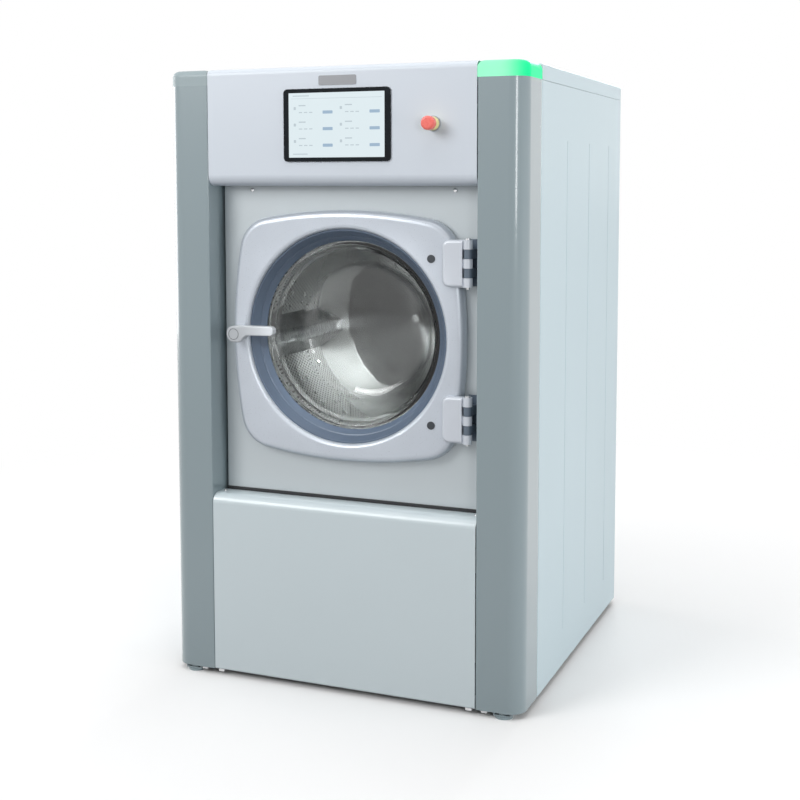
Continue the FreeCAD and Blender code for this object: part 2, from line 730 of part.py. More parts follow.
def water_inlet_valves():
    """Hose inlets with their collars in the rear sheet, valves and the manifold to the tub."""
    block_back = Y_REAR - 2 * SHEET
    block_front = block_back - VALVE_DEPTH
    half = INLET_PITCH * INLET_COUNT / 2
    low = FILL_HIGH
    valves = block(-half, half, block_front, block_back, low, low + VALVE_HEIGHT)
    valves = valves.makeFillet(BEND, rim_edges(valves, lambda box: box.ZLength > VALVE_HEIGHT / 2))
    duct = block(-MANIFOLD_HEIGHT / 2, MANIFOLD_HEIGHT / 2, FILL_Y - MANIFOLD_HEIGHT / 2, block_front,
                 low, low + MANIFOLD_HEIGHT)
    pieces = [duct]
    for x in inlet_places():
        pieces.append(rod_y(INLET_COLLAR, block_back, Y_REAR + COLLAR_PROUD, x, INLET_Z))
        pieces.append(rod_y(INLET_RADIUS, block_back, Y_REAR + FITTING_REACH, x, INLET_Z))
    body = valves.fuse(pieces)
    for x in inlet_places():
        body = body.cut(rod_y(INLET_BORE, block_back, Y_REAR + FITTING_REACH, x, INLET_Z))
    return body.removeSplitter()


def fill_hose():
    """Soft sleeve between the manifold and the tub."""
    sleeve = rod_z(FILL_RADIUS, FILL_LOW, FILL_HIGH, 0, FILL_Y)
    return sleeve.cut(rod_z(FILL_RADIUS - FILL_WALL, FILL_LOW, FILL_HIGH, 0, FILL_Y))


def bent_pipe(radius):
    """Drain line: down, round one bend and out through the rear."""
    turn = V(0, DRAIN_Y, DRAIN_LINE_Z)
    top = V(0, DRAIN_Y, DRAIN_HOSE_LOW)
    end = V(0, Y_REAR + FITTING_REACH, DRAIN_LINE_Z)
    first, middle, last = corner_arc(top, turn, end, DRAIN_BEND)
    bend = Part.Arc(first, middle, last).toShape()
    path = Part.Wire([Part.makeLine(top, first), bend, Part.makeLine(last, end)])
    ring = Part.Wire(Part.makeCircle(radius, top, V(0, 0, -1)))
    shell = Part.BRepOffsetAPI.MakePipeShell(path)
    shell.add(ring)
    shell.build()
    shell.makeSolid()
    return shell.shape()


def drain_outlet():
    """Bent waste pipe with a collar where it leaves the cabinet."""
    collar = rod_y(DRAIN_COLLAR, Y_REAR - BEARING_WIDTH, Y_REAR + COLLAR_PROUD, 0, DRAIN_LINE_Z)
    pipe = bent_pipe(DRAIN_PIPE).fuse(collar)
    return pipe.cut(bent_pipe(DRAIN_PIPE - DRAIN_WALL)).removeSplitter()


def drain_hose():
    sleeve = rod_z(DRAIN_PIPE, DRAIN_HOSE_LOW, DRAIN_HOSE_HIGH, 0, DRAIN_Y)
    return sleeve.cut(rod_z(DRAIN_PIPE - DRAIN_WALL, DRAIN_HOSE_LOW, DRAIN_HOSE_HIGH, 0, DRAIN_Y))


def damper_tubes():
    """Friction damper bodies standing on the base rails."""
    tubes = []
    for x in (-FOOT_X, FOOT_X):
        tube = rod_z(DAMPER_RADIUS, RAIL_TOP, DAMPER_TOP, x, DAMPER_Y)
        bore = rod_z(DAMPER_ROD + RUNNING_FIT, RAIL_TOP + SEAT_HEIGHT, DAMPER_TOP, x, DAMPER_Y)
        tubes.append(tube.cut(bore))
    return group(tubes)


def damper_rods():
    rods = []
    for x in (-FOOT_X, FOOT_X):
        low = RAIL_TOP + SEAT_HEIGHT + TUB_TRAVEL * 2
        rods.append(rod_z(DAMPER_ROD, low, CRADLE_HEIGHT, x, DAMPER_Y))
    return group(rods)


def arc_from(start, heading, end):
    """Arc that leaves start along heading and reaches end."""
    chord = end - start
    length = chord.Length
    along = chord / length
    side = heading - along * heading.dot(along)
    rise = length / 2 * math.tan(heading.getAngle(along) / 2)
    middle = start + chord / 2 + side.normalize() * rise
    return Part.Arc(start, middle, end).toShape()


def spring_coil(x, y):
    """Coil spring: six-sided wire along a helix of quarter-turn pairs of arcs."""
    low = RAIL_TOP + SPRING_WIRE + CLEARANCE / 2
    climb = CRADLE_HEIGHT - RAIL_TOP - 2 * SPRING_WIRE - CLEARANCE
    steps = SPRING_TURNS * 4
    places = []
    headings = []
    for step in range(steps + 1):
        turn = math.pi / 2 * step
        places.append(V(x + SPRING_RADIUS * math.cos(turn), y + SPRING_RADIUS * math.sin(turn),
                        low + climb * step / steps))
        headings.append(V(-SPRING_RADIUS * math.sin(turn), SPRING_RADIUS * math.cos(turn),
                          climb / (2 * math.pi * SPRING_TURNS)).normalize())
    edges = []
    for step in range(steps):
        leave = headings[step]
        arrive = headings[step + 1]
        span = places[step + 1] - places[step]
        both = span.dot(leave + arrive)
        bend = 2 * (1 - leave.dot(arrive))
        reach = (math.sqrt(both * both + bend * span.dot(span)) - both) / bend
        joint = (places[step] + places[step + 1] + (leave - arrive) * reach) / 2
        edges.append(arc_from(places[step], leave, joint))
        edges.append(arc_from(places[step + 1], arrive * -1, joint))
    across = V(1, 0, 0)
    rise = headings[0].cross(across)
    sides = [math.radians(60 * side) for side in range(7)]
    ring = Part.makePolygon([places[0] + (across * math.cos(side) + rise * math.sin(side)) * SPRING_WIRE
                             for side in sides])
    shell = Part.BRepOffsetAPI.MakePipeShell(Part.Wire(edges))
    shell.add(ring)
    shell.build()
    shell.makeSolid()
    return shell.shape()


def suspension_springs():
    pitch = (CRADLE_HEIGHT - RAIL_TOP - 2 * SPRING_WIRE - CLEARANCE) / SPRING_TURNS
    print("least gap between spring turns", round(pitch - 2 * SPRING_WIRE, 2))
    return group([spring_coil(x, y) for x in (-FOOT_X, FOOT_X) for y in (SPRING_FRONT_Y, SPRING_BACK_Y)])


def tub_shell():
    """Rolled tub wall with the fill spigot on top and the drain hole below."""
    spigot = rod_z(FILL_RADIUS, AXIS_Z, FILL_LOW, 0, FILL_Y)
    spigot = spigot.cut(rod_y(TUB_RADIUS - TUB_WALL, -DEPTH, DEPTH))
    shell = ring_y(TUB_RADIUS, TUB_RADIUS - TUB_WALL, TUB_FRONT_Y, TUB_BACK_Y).fuse(spigot)
    shell = shell.cut(rod_z(FILL_RADIUS - FILL_WALL, AXIS_Z, FILL_LOW, 0, FILL_Y))
    return shell.cut(rod_z(DRAIN_PIPE - DRAIN_WALL, SKIRT_GAP, AXIS_Z, 0, DRAIN_Y)).removeSplitter()


def tub_front():
    return ring_y(TUB_RADIUS, MOUTH_RADIUS + MOUTH_WALL, TUB_FRONT_Y - TUB_WALL, TUB_FRONT_Y)


def mouth_collar():
    """Flanged ring that joins the door panel to the tub."""
    front = PANEL_Y + SHEET
    outer = MOUTH_RADIUS + MOUTH_WALL
    return turned([
        (MOUTH_RADIUS, front, 0),
        (outer + FLANGE, front, 0),
        (outer + FLANGE, front + MOUTH_WALL, 0),
        (outer, front + MOUTH_WALL, 0),
        (outer, TUB_FRONT_Y + BEND, 0),
        (MOUTH_RADIUS, TUB_FRONT_Y + BEND, 0),
    ])


def tub_back():
    """Thick rear wall with the hole of the shaft seal."""
    return ring_y(TUB_RADIUS, SEAL_RADIUS, TUB_BACK_Y, TUB_BACK_Y + TUB_BACK_THICK)


def shaft_seal():
    return ring_y(SEAL_RADIUS, SHAFT_RADIUS + RUNNING_FIT, TUB_BACK_Y, TUB_BACK_Y + TUB_BACK_THICK)


def cradle_rail():
    """Side tube of the cradle with the upper spring seats under it."""
    x0 = FOOT_X - CRADLE_TUBE / 2
    rail = block(x0, x0 + CRADLE_TUBE, CRADLE_FRONT_Y, CRADLE_BACK_Y,
                 CRADLE_HEIGHT, CRADLE_HEIGHT + CRADLE_TUBE)
    seat = SPRING_RADIUS - SPRING_WIRE - SEAM
    seats = []
    for y in (SPRING_FRONT_Y, SPRING_BACK_Y):
        seats.append(rod_z(seat, CRADLE_HEIGHT - SEAT_HEIGHT, CRADLE_HEIGHT, FOOT_X, y))
    return rail.fuse(seats)


def saddle(y1):
    """Cross plate cut to the tub's round."""
    half = FOOT_X + CRADLE_TUBE / 2
    low = CRADLE_HEIGHT + CRADLE_TUBE
    face = outline([
        (-half, low, 0),
        (half, low, 0),
        (half, low + SADDLE_RISE / 2, SADDLE_RISE / 4),
        (TUB_RADIUS - SADDLE_RISE / 2, low + SADDLE_RISE * 2, 0),
        (SADDLE_RISE / 2 - TUB_RADIUS, low + SADDLE_RISE * 2, 0),
        (-half, low + SADDLE_RISE / 2, SADDLE_RISE / 4),
    ], facing)
    face.translate(V(0, y1 - SADDLE_THICK, 0))
    plate = face.extrude(V(0, SADDLE_THICK, 0))
    return plate.cut(rod_y(TUB_RADIUS, -DEPTH, DEPTH))


def tub_cradle():
    """Welded cradle: two rails, two saddles and the motor plate."""
    rail = cradle_rail()
    reach = MOTOR_FLANGE_RADIUS
    motor_plate = block(MOTOR_X - reach, MOTOR_X + reach, SADDLE_BACK_Y - SADDLE_THICK, SADDLE_BACK_Y,
                        MOTOR_Z - reach, CRADLE_HEIGHT + 2 * CRADLE_TUBE)
    pieces = [mirrored(rail), saddle(SADDLE_FRONT_Y), saddle(SADDLE_BACK_Y), motor_plate]
    return rail.fuse(pieces).removeSplitter()


def door_panel():
    """Recessed front sheet that rides on the tub, its sides folded back."""
    half = PILLAR_IN - PANEL_GAP
    path = [
        (-half, PANEL_Y + LEDGE_DEPTH / 2, 0),
        (-half, PANEL_Y, BEND),
        (half, PANEL_Y, BEND),
        (half, PANEL_Y + LEDGE_DEPTH / 2, 0),
    ]
    face = outline(sheet_outline(path, SHEET), flat)
    low = LEDGE_HEIGHT - CONTROL_LOW_ROLL
    face.translate(V(0, 0, low))
    panel = face.extrude(V(0, 0, CONTROL_BOTTOM + CONTROL_LOW_ROLL - low))
    return panel.cut(rod_y(MOUTH_RADIUS, PANEL_Y - SEAM, PANEL_Y + BEND))


def door_gasket():
    """Rubber ring on the panel, just short of the closed door."""
    inner = MOUTH_RADIUS + SHEET
    return turned([
        (inner, PANEL_Y, 0),
        (inner, DOOR_BACK_Y + CLEARANCE, 0),
        (inner + GASKET_WIDTH, DOOR_BACK_Y + CLEARANCE, 0),
        (inner + GASKET_WIDTH, PANEL_Y, 0),
    ])


def bearing_housing():
    """Cast housing behind the tub, its flange stiffened by ribs."""
    front = TUB_BACK_Y + TUB_BACK_THICK
    web = front + BEARING_WIDTH / 2
    body = turned([
        (BEARING_RADIUS, front, 0),
        (HOUSING_FLANGE_RADIUS, front, 0),
        (HOUSING_FLANGE_RADIUS, web, 0),
        (HOUSING_RADIUS, web, 0),
        (HOUSING_RADIUS, HOUSING_END_Y, 0),
        (BEARING_RADIUS, HOUSING_END_Y, 0),
    ])
    rib = outline([
        (HOUSING_RADIUS - BEND, web - SEAM, 0),
        (HOUSING_FLANGE_RADIUS - 2 * BEND, web - SEAM, 0),
        (HOUSING_RADIUS - BEND, HOUSING_END_Y - BEARING_WIDTH, 0),
    ], radial)
    rib.translate(V(0, 0, -BEND))
    rib = rib.extrude(V(0, 0, 2 * BEND))
    ribs = []
    for index in range(RIB_COUNT):
        copy = rib.copy()
        copy.rotate(V(0, 0, AXIS_Z), V(0, 1, 0), 360 * index / RIB_COUNT)
        ribs.append(copy)
    return body.fuse(ribs).removeSplitter()


def shaft_bearings():
    front = TUB_BACK_Y + TUB_BACK_THICK
    bore = SHAFT_RADIUS + RUNNING_FIT
    return group([
        ring_y(BEARING_RADIUS, bore, front, front + BEARING_WIDTH),
        ring_y(BEARING_RADIUS, bore, HOUSING_END_Y - BEARING_WIDTH, HOUSING_END_Y),
    ])


def motor():
    """Flanged motor with cooling ribs along it and a terminal box on its side."""
    front = SADDLE_BACK_Y + SEAT_HEIGHT
    pieces = []
    for index in range(MOTOR_RIBS):
        rib = block(0, MOTOR_RADIUS + BEND, front, MOTOR_END_Y - BEARING_WIDTH,
                    -TUBE_WALL / 2, TUBE_WALL / 2)
        rib.rotate(V(0, 0, 0), V(0, 1, 0), 360 * index / MOTOR_RIBS)
        rib.translate(V(MOTOR_X, 0, MOTOR_Z))
        pieces.append(rib)
    pieces.append(rod_y(MOTOR_FLANGE_RADIUS, SADDLE_BACK_Y, front, MOTOR_X, MOTOR_Z))
    half = MOTOR_RADIUS / 2
    pieces.append(block(MOTOR_X + half, MOTOR_X + MOTOR_FLANGE_RADIUS + BEND, front + MOTOR_RADIUS,
                        front + 2 * MOTOR_RADIUS, MOTOR_Z - half, MOTOR_Z + half))
    body = rod_y(MOTOR_RADIUS, front, MOTOR_END_Y, MOTOR_X, MOTOR_Z).fuse(pieces)
    bore = rod_y(MOTOR_SHAFT + RUNNING_FIT, MOTOR_END_Y - 2 * BEARING_WIDTH, MOTOR_END_Y, MOTOR_X, MOTOR_Z)
    return body.cut(bore).removeSplitter()


def motor_pulley():
    """Motor shaft with its small pulley."""
    start = MOTOR_END_Y - 2 * BEARING_WIDTH + SEAM
    shaft = rod_y(MOTOR_SHAFT, start, PULLEY_BACK_Y + BEND, MOTOR_X, MOTOR_Z)
    wheel = rod_y(MOTOR_PULLEY_RADIUS, PULLEY_FRONT_Y, PULLEY_BACK_Y, MOTOR_X, MOTOR_Z)
    return shaft.fuse(wheel).removeSplitter()


def drum_pulley():
    """Large pulley: rim, pierced web and hub."""
    middle = (PULLEY_FRONT_Y + PULLEY_BACK_Y) / 2
    rim = ring_y(DRUM_PULLEY_RADIUS, DRUM_PULLEY_RADIUS - SEAT_HEIGHT, PULLEY_FRONT_Y, PULLEY_BACK_Y)
    web = ring_y(DRUM_PULLEY_RADIUS - SEAT_HEIGHT, SHAFT_RADIUS, middle - BEND, middle + BEND)
    hub = ring_y(HUB_RADIUS - SEAT_HEIGHT, SHAFT_RADIUS, PULLEY_FRONT_Y - BEND, PULLEY_BACK_Y + BEND)
    wheel = rim.fuse([web, hub])
    circle = (DRUM_PULLEY_RADIUS + HUB_RADIUS) / 2 - SEAT_HEIGHT
    for index in range(PULLEY_HOLES):
        turn = 2 * math.pi * index / PULLEY_HOLES
        wheel = wheel.cut(rod_y(PULLEY_HOLE_RADIUS, PULLEY_FRONT_Y, PULLEY_BACK_Y,
                                circle * math.cos(turn), AXIS_Z + circle * math.sin(turn)))
    return wheel.removeSplitter()


def belt_face(lift_off):
    """Area inside a belt line at the given distance outside both pulleys."""
    big = DRUM_PULLEY_RADIUS + lift_off
    small = MOTOR_PULLEY_RADIUS + lift_off
    span = math.hypot(MOTOR_X, AXIS_Z - MOTOR_Z)
    lean = math.acos((big - small) / span)
    aim = math.atan2(MOTOR_Z - AXIS_Z, MOTOR_X)

    def at(radius, turn, x, z):
        return V(x + radius * math.cos(turn), PULLEY_FRONT_Y + BELT_SIDE, z + radius * math.sin(turn))

    start = at(big, aim + lean, 0, AXIS_Z)
    end = at(big, aim - lean, 0, AXIS_Z)
    far = at(small, aim + lean, MOTOR_X, MOTOR_Z)
    near = at(small, aim - lean, MOTOR_X, MOTOR_Z)
    edges = [
        Part.Arc(start, at(big, aim + math.pi, 0, AXIS_Z), end).toShape(),
        Part.makeLine(end, near),
        Part.Arc(near, at(small, aim, MOTOR_X, MOTOR_Z), far).toShape(),
        Part.makeLine(far, start),
    ]
    return Part.Face(Part.Wire(edges))


def drive_belt():
    """Flat belt round both pulleys, a hair clear of their running faces."""
    length = V(0, PULLEY_WIDTH - 2 * BELT_SIDE, 0)
    return belt_face(CLEARANCE + BELT_THICK).extrude(length).cut(belt_face(CLEARANCE).extrude(length))


def heater_elements():
    """Three hairpin heaters in the gap under the drum, fixed in the rear wall."""
    middle_radius = (DRUM_RADIUS + TUB_RADIUS - TUB_WALL) / 2
    hairpins = []
    for centre in (-HEATER_STEP, 0, HEATER_STEP):
        legs = []
        for side in (-1, 1):
            turn = math.radians(centre + side * HEATER_SPREAD - 90)
            legs.append((middle_radius * math.cos(turn), AXIS_Z + middle_radius * math.sin(turn)))
        (x0, z0), (x1, z1) = legs
        bend = math.hypot(x1 - x0, z1 - z0) / 2
        path = Part.Wire([
            Part.makeLine(V(x0, TUB_BACK_Y, z0), V(x0, HEATER_END_Y, z0)),
            Part.Arc(V(x0, HEATER_END_Y, z0), V((x0 + x1) / 2, HEATER_END_Y - bend, (z0 + z1) / 2),
                     V(x1, HEATER_END_Y, z1)).toShape(),
            Part.makeLine(V(x1, HEATER_END_Y, z1), V(x1, TUB_BACK_Y, z1)),
        ])
        shell = Part.BRepOffsetAPI.MakePipeShell(path)
        shell.add(Part.Wire(Part.makeCircle(HEATER_RADIUS, V(x0, TUB_BACK_Y, z0), V(0, -1, 0))))
        shell.build()
        shell.makeSolid()
        hairpins.append(shell.shape())
    return group(hairpins)


def drain_valve_body():
    """Round valve under the tub, with the bearings of its flap."""
    body = rod_z(DRAIN_PIPE, DRAIN_HOSE_HIGH, AXIS_Z, 0, DRAIN_Y).cut(rod_y(TUB_RADIUS, -DEPTH, DEPTH))
    for side in (-1, 1):
        x0, x1 = sorted((side * (DRAIN_PIPE - DRAIN_WALL), side * FLAP_REACH))
        body = body.fuse(rod_x(2 * FLAP_SPINDLE, x0, x1, DRAIN_Y, FLAP_Z))
    body = body.cut(rod_z(DRAIN_PIPE - DRAIN_WALL, DRAIN_HOSE_HIGH, AXIS_Z, 0, DRAIN_Y))
    bore = rod_x(FLAP_SPINDLE + RUNNING_FIT, -FLAP_REACH, FLAP_REACH, DRAIN_Y, FLAP_Z)
    return body.cut(bore).removeSplitter()


def drain_flap():
    """Butterfly disc on its spindle."""
    low = FLAP_Z - FLAP_THICK / 2
    disc = rod_z(DRAIN_PIPE - DRAIN_WALL - CLEARANCE, low, low + FLAP_THICK, 0, DRAIN_Y)
    spindle = rod_x(FLAP_SPINDLE, -FLAP_REACH - BEND, FLAP_REACH + BEND, DRAIN_Y, FLAP_Z)
    return disc.fuse(spindle).removeSplitter()


def drum_shell():
    """Drum wall with its flat front and the rolled lip of its mouth."""
    inner = DRUM_RADIUS - DRUM_WALL
    return turned([
        (DRUM_RADIUS, DRUM_FRONT_Y, 0),
        (DRUM_RADIUS, DRUM_BACK_Y, 0),
        (inner, DRUM_BACK_Y, 0),
        (inner, DRUM_FRONT_Y + DRUM_WALL, 0),
        (DRUM_MOUTH + DRUM_WALL, DRUM_FRONT_Y + DRUM_WALL, 0),
        (DRUM_MOUTH + DRUM_WALL, DRUM_FRONT_Y + LIP_DEPTH, 0),
        (DRUM_MOUTH, DRUM_FRONT_Y + LIP_DEPTH, 0),
        (DRUM_MOUTH, DRUM_FRONT_Y, BEND),
    ])


def drum_back():
    """Pressed rear wall whose middle rises as a cone towards the door."""
    rim = DRUM_RADIUS - DRUM_WALL
    front = DRUM_BACK_Y - DRUM_WALL
    tip = front - CONE_RISE
    shift = DRUM_WALL / 2
    return turned([
        (rim, front, 0),
        (CONE_RADIUS, front, CONE_BLEND),
        (CONE_TIP, tip, CONE_BLEND),
        (0, tip, 0),
        (0, tip + DRUM_WALL, 0),
        (CONE_TIP - shift, tip + DRUM_WALL, CONE_BLEND - DRUM_WALL),
        (CONE_RADIUS - shift, DRUM_BACK_Y, CONE_BLEND + DRUM_WALL),
        (rim, DRUM_BACK_Y, 0),
    ])


def lifter_rib(wall):
    """One lifter along the drum, drawn in by the given wall."""
    crest = DRUM_RADIUS - DRUM_WALL - LIFTER_HEIGHT + wall
    foot = LIFTER_BASE / 2 - wall
    tip = LIFTER_CREST / 2 - wall / 2
    face = outline([
        (DRUM_RADIUS, AXIS_Z - foot, 0),
        (DRUM_RADIUS, AXIS_Z + foot, 0),
        (crest, AXIS_Z + tip, tip * LIFTER_ROUND),
        (crest, AXIS_Z - tip, tip * LIFTER_ROUND),
    ], facing)
    front = DRUM_FRONT_Y + LIP_DEPTH + wall
    face.translate(V(0, front, 0))
    rib = face.extrude(V(0, DRUM_BACK_Y - DRUM_WALL - SEAM - wall - front, 0))
    return rib.common(rod_y(DRUM_RADIUS - DRUM_WALL, -DEPTH, DEPTH))


def drum_lifters():
    """Three hollow ribs that lift the load, seated on the drum wall."""
    rib = lifter_rib(0).cut(lifter_rib(DRUM_WALL))
    ribs = []
    for index in range(LIFTER_COUNT):
        copy = rib.copy()
        copy.rotate(V(0, 0, AXIS_Z), V(0, 1, 0), LIFTER_ANGLE + 360 * index / LIFTER_COUNT)
        ribs.append(copy)
    return group(ribs)


def drum_spider():
    """Cast hub inside the cone, its arms bolted to the drum's rear wall."""
    back = TUB_BACK_Y - BEND
    front = DRUM_BACK_Y - HUB_RADIUS
    arm = outline([
        (SHAFT_RADIUS, AXIS_Z - SPIDER_ARM / 2, 0),
        (DRUM_RADIUS - SEAT_HEIGHT, AXIS_Z - SPIDER_ARM / 4, SEAT_HEIGHT),
        (DRUM_RADIUS - SEAT_HEIGHT, AXIS_Z + SPIDER_ARM / 4, SEAT_HEIGHT),
        (SHAFT_RADIUS, AXIS_Z + SPIDER_ARM / 2, 0),
    ], facing)
    arm.translate(V(0, DRUM_BACK_Y, 0))
    arm = arm.extrude(V(0, back - DRUM_BACK_Y, 0))
    arms = []
    for index in range(LIFTER_COUNT):
        copy = arm.copy()
        copy.rotate(V(0, 0, AXIS_Z), V(0, 1, 0), LIFTER_ANGLE + 360 * index / LIFTER_COUNT)
        arms.append(copy)
    hub = rod_y(HUB_RADIUS, front, back).fuse(arms)
    return hub.cut(rod_y(SHAFT_RADIUS, front, back)).removeSplitter()


def drum_shaft():
    return rod_y(SHAFT_RADIUS, DRUM_BACK_Y - HUB_RADIUS, SHAFT_END_Y)


def door_outline(inset, y):
    """Soft square of the door: four bowed sides joined by corner arcs."""
    half = DOOR_HALF - inset
    bow = DOOR_BOW - inset
    corner = DOOR_CORNER - inset
    shift = half - bow
    middle = (shift + math.sqrt(2 * (bow - corner) ** 2 - shift ** 2)) / 2
    reach = bow / (bow - corner)
    along = shift + (middle - shift) * reach
    across = middle * reach
    peak = middle + corner / math.sqrt(2)
    edges = []
    for step in range(4):
        turn = math.pi / 2 * step
        cos = math.cos(turn)
        sin = math.sin(turn)

        def place(u, v):
            return V(u * cos - v * sin, y, AXIS_Z + u * sin + v * cos)

        edges.append(Part.Arc(place(along, -across), place(half, 0), place(along, across)).toShape())
        edges.append(Part.Arc(place(along, across), place(peak, peak), place(across, along)).toShape())
    return Part.Face(Part.Wire(edges))


def door_frame():
    """Moulded door shell: soft square front, round window and open back."""
    depth = V(0, DOOR_DEPTH, 0)
    body = door_outline(0, DOOR_Y).extrude(depth)
    body = body.makeFillet(DOOR_EDGE, rim_edges(body, lambda box: box.YMax < DOOR_Y + SEAM))
    pocket = door_outline(DOOR_WALL, DOOR_Y + DOOR_WALL).extrude(depth)
    floor = rim_edges(pocket, lambda box: box.YMax < DOOR_Y + DOOR_WALL + SEAM)
    body = body.cut(pocket.makeFillet(DOOR_EDGE - DOOR_WALL, floor))
    collar = WINDOW_RADIUS + WINDOW_COLLAR
    body = body.fuse(ring_y(collar, WINDOW_RADIUS, DOOR_Y + DOOR_WALL / 2, DOOR_BACK_Y))
    body = body.cut(rod_y(WINDOW_RADIUS, DOOR_Y - SEAM, DOOR_BACK_Y)).removeSplitter()
    lip = rim_edges(body, lambda box: box.YMax < DOOR_Y + SEAM and box.XMax < collar)
    body = body.makeFillet(WINDOW_LIP, lip)
    spindle = rod_y(HANDLE_SPINDLE + RUNNING_FIT, DOOR_Y - SEAM, DOOR_BACK_Y, HANDLE_X, AXIS_Z)
    return body.cut(spindle).removeSplitter()


def door_ring():
    """Conical ring from behind the door's lip back to the glass."""
    front = DOOR_Y + WINDOW_LIP
    return turned([
        (RING_FRONT_RADIUS, front, 0),
        (RING_BACK_RADIUS, RING_BACK_Y, 0),
        (RING_BACK_RADIUS + RING_WALL + GLASS_THICK, RING_BACK_Y, 0),
        (WINDOW_RADIUS, front + RING_WALL + GLASS_THICK, 0),
        (WINDOW_RADIUS, front, 0),
    ])


def door_glass():
    """Deep glass bowl with a flat rim behind the ring."""
    rim = RING_BACK_RADIUS + RING_WALL + GLASS_THICK
    floor = RING_BACK_Y + GLASS_DEPTH
    inner = RING_BACK_RADIUS - GLASS_THICK
    return turned([
        (rim, RING_BACK_Y, 0),
        (inner, RING_BACK_Y, 0),
        (GLASS_FLOOR, floor - GLASS_THICK, GLASS_BEND),
        (0, floor, 0),
        (0, floor + GLASS_THICK, 0),
        (GLASS_FLOOR + GLASS_THICK, floor, GLASS_BEND + GLASS_THICK),
        (inner + GLASS_THICK, RING_BACK_Y + GLASS_THICK, 0),
        (rim, RING_BACK_Y + GLASS_THICK, 0),
    ])


def hinge_places():
    """Bottom height of each of the two hinges."""
    rise = KNUCKLE_LENGTH * KNUCKLE_COUNT / 2
    return (HINGE_TOP_Z - rise, HINGE_LOW_Z - rise)


def knuckle(radius, z):
    return rod_z(radius, z + KNUCKLE_GAP / 2, z + KNUCKLE_LENGTH - KNUCKLE_GAP / 2, HINGE_X, HINGE_Y)


def hinge_leaves():
    """Cast hinge pads on the door, each with three knuckles."""
    front = Y_FRONT + HINGE_PAD_SETBACK
    right = HINGE_X - KNUCKLE_RADIUS - SHEET
    leaves = []
    for low in hinge_places():
        height = KNUCKLE_LENGTH * KNUCKLE_COUNT
        pad = block(HINGE_PAD_LEFT, right, front, DOOR_Y,
                    low + KNUCKLE_GAP / 2, low + height - KNUCKLE_GAP / 2)
        left = rim_edges(pad, lambda box: box.XMax < HINGE_PAD_LEFT + SEAM and box.YLength > BEND)
        pad = pad.makeFillet(PAD_CORNER, left)
        face = rim_edges(pad, lambda box: box.YMax < front + SEAM and box.XMin < right - SEAM)
        pad = pad.makeFillet(PAD_ROUND, face)
        for index in range(0, KNUCKLE_COUNT, 2):
            z = low + index * KNUCKLE_LENGTH
            arm = block(right - SEAT_HEIGHT, HINGE_X, front + BEND, HINGE_Y + KNUCKLE_RADIUS / 2,
                        z + KNUCKLE_GAP / 2, z + KNUCKLE_LENGTH - KNUCKLE_GAP / 2)
            pad = pad.fuse([knuckle(KNUCKLE_RADIUS, z), arm])
        bore = rod_z(HINGE_PIN + RUNNING_FIT, low - SEAM, low + height + SEAM, HINGE_X, HINGE_Y)
        leaves.append(pad.cut(bore).removeSplitter())
    return group(leaves)


def hinge_brackets():
    """Fixed hinge halves on the recessed panel, each with two knuckles."""
    brackets = []
    for low in hinge_places():
        height = KNUCKLE_LENGTH * KNUCKLE_COUNT
        foot = block(HINGE_X - KNUCKLE_RADIUS, PILLAR_IN - PANEL_GAP - BEND, PANEL_Y - TUBE_WALL, PANEL_Y,
                     low, low + height)
        pieces = []
        for index in range(1, KNUCKLE_COUNT, 2):
            z = low + index * KNUCKLE_LENGTH
            pieces.append(knuckle(KNUCKLE_RADIUS - SEAM, z))
            reach = KNUCKLE_RADIUS - SHEET
            pieces.append(block(HINGE_X - reach, HINGE_X + reach, HINGE_Y, PANEL_Y,
                                z + KNUCKLE_GAP / 2, z + KNUCKLE_LENGTH - KNUCKLE_GAP / 2))
        bracket = foot.fuse(pieces)
        brackets.append(bracket.cut(rod_z(HINGE_PIN, low, low + height, HINGE_X, HINGE_Y)).removeSplitter())
    return group(brackets)


def hinge_pins():
    pins = []
    for low in hinge_places():
        high = low + KNUCKLE_LENGTH * KNUCKLE_COUNT
        shank = rod_z(HINGE_PIN, low - BEND, high, HINGE_X, HINGE_Y)
        head = rod_z(HINGE_PIN_HEAD, high, high + TUBE_WALL, HINGE_X, HINGE_Y)
        pins.append(shank.fuse(head).removeSplitter())
    return group(pins)


def door_plugs():
    """Two round plugs in the door face beside the hinges."""
    plugs = []
    for z in (HINGE_TOP_Z + PLUG_TOP_STEP, HINGE_LOW_Z - PLUG_LOW_STEP):
        plugs.append(rod_y(PLUG_RADIUS, DOOR_Y - PLUG_PROUD, DOOR_Y, PLUG_X, z))
    return group(plugs)


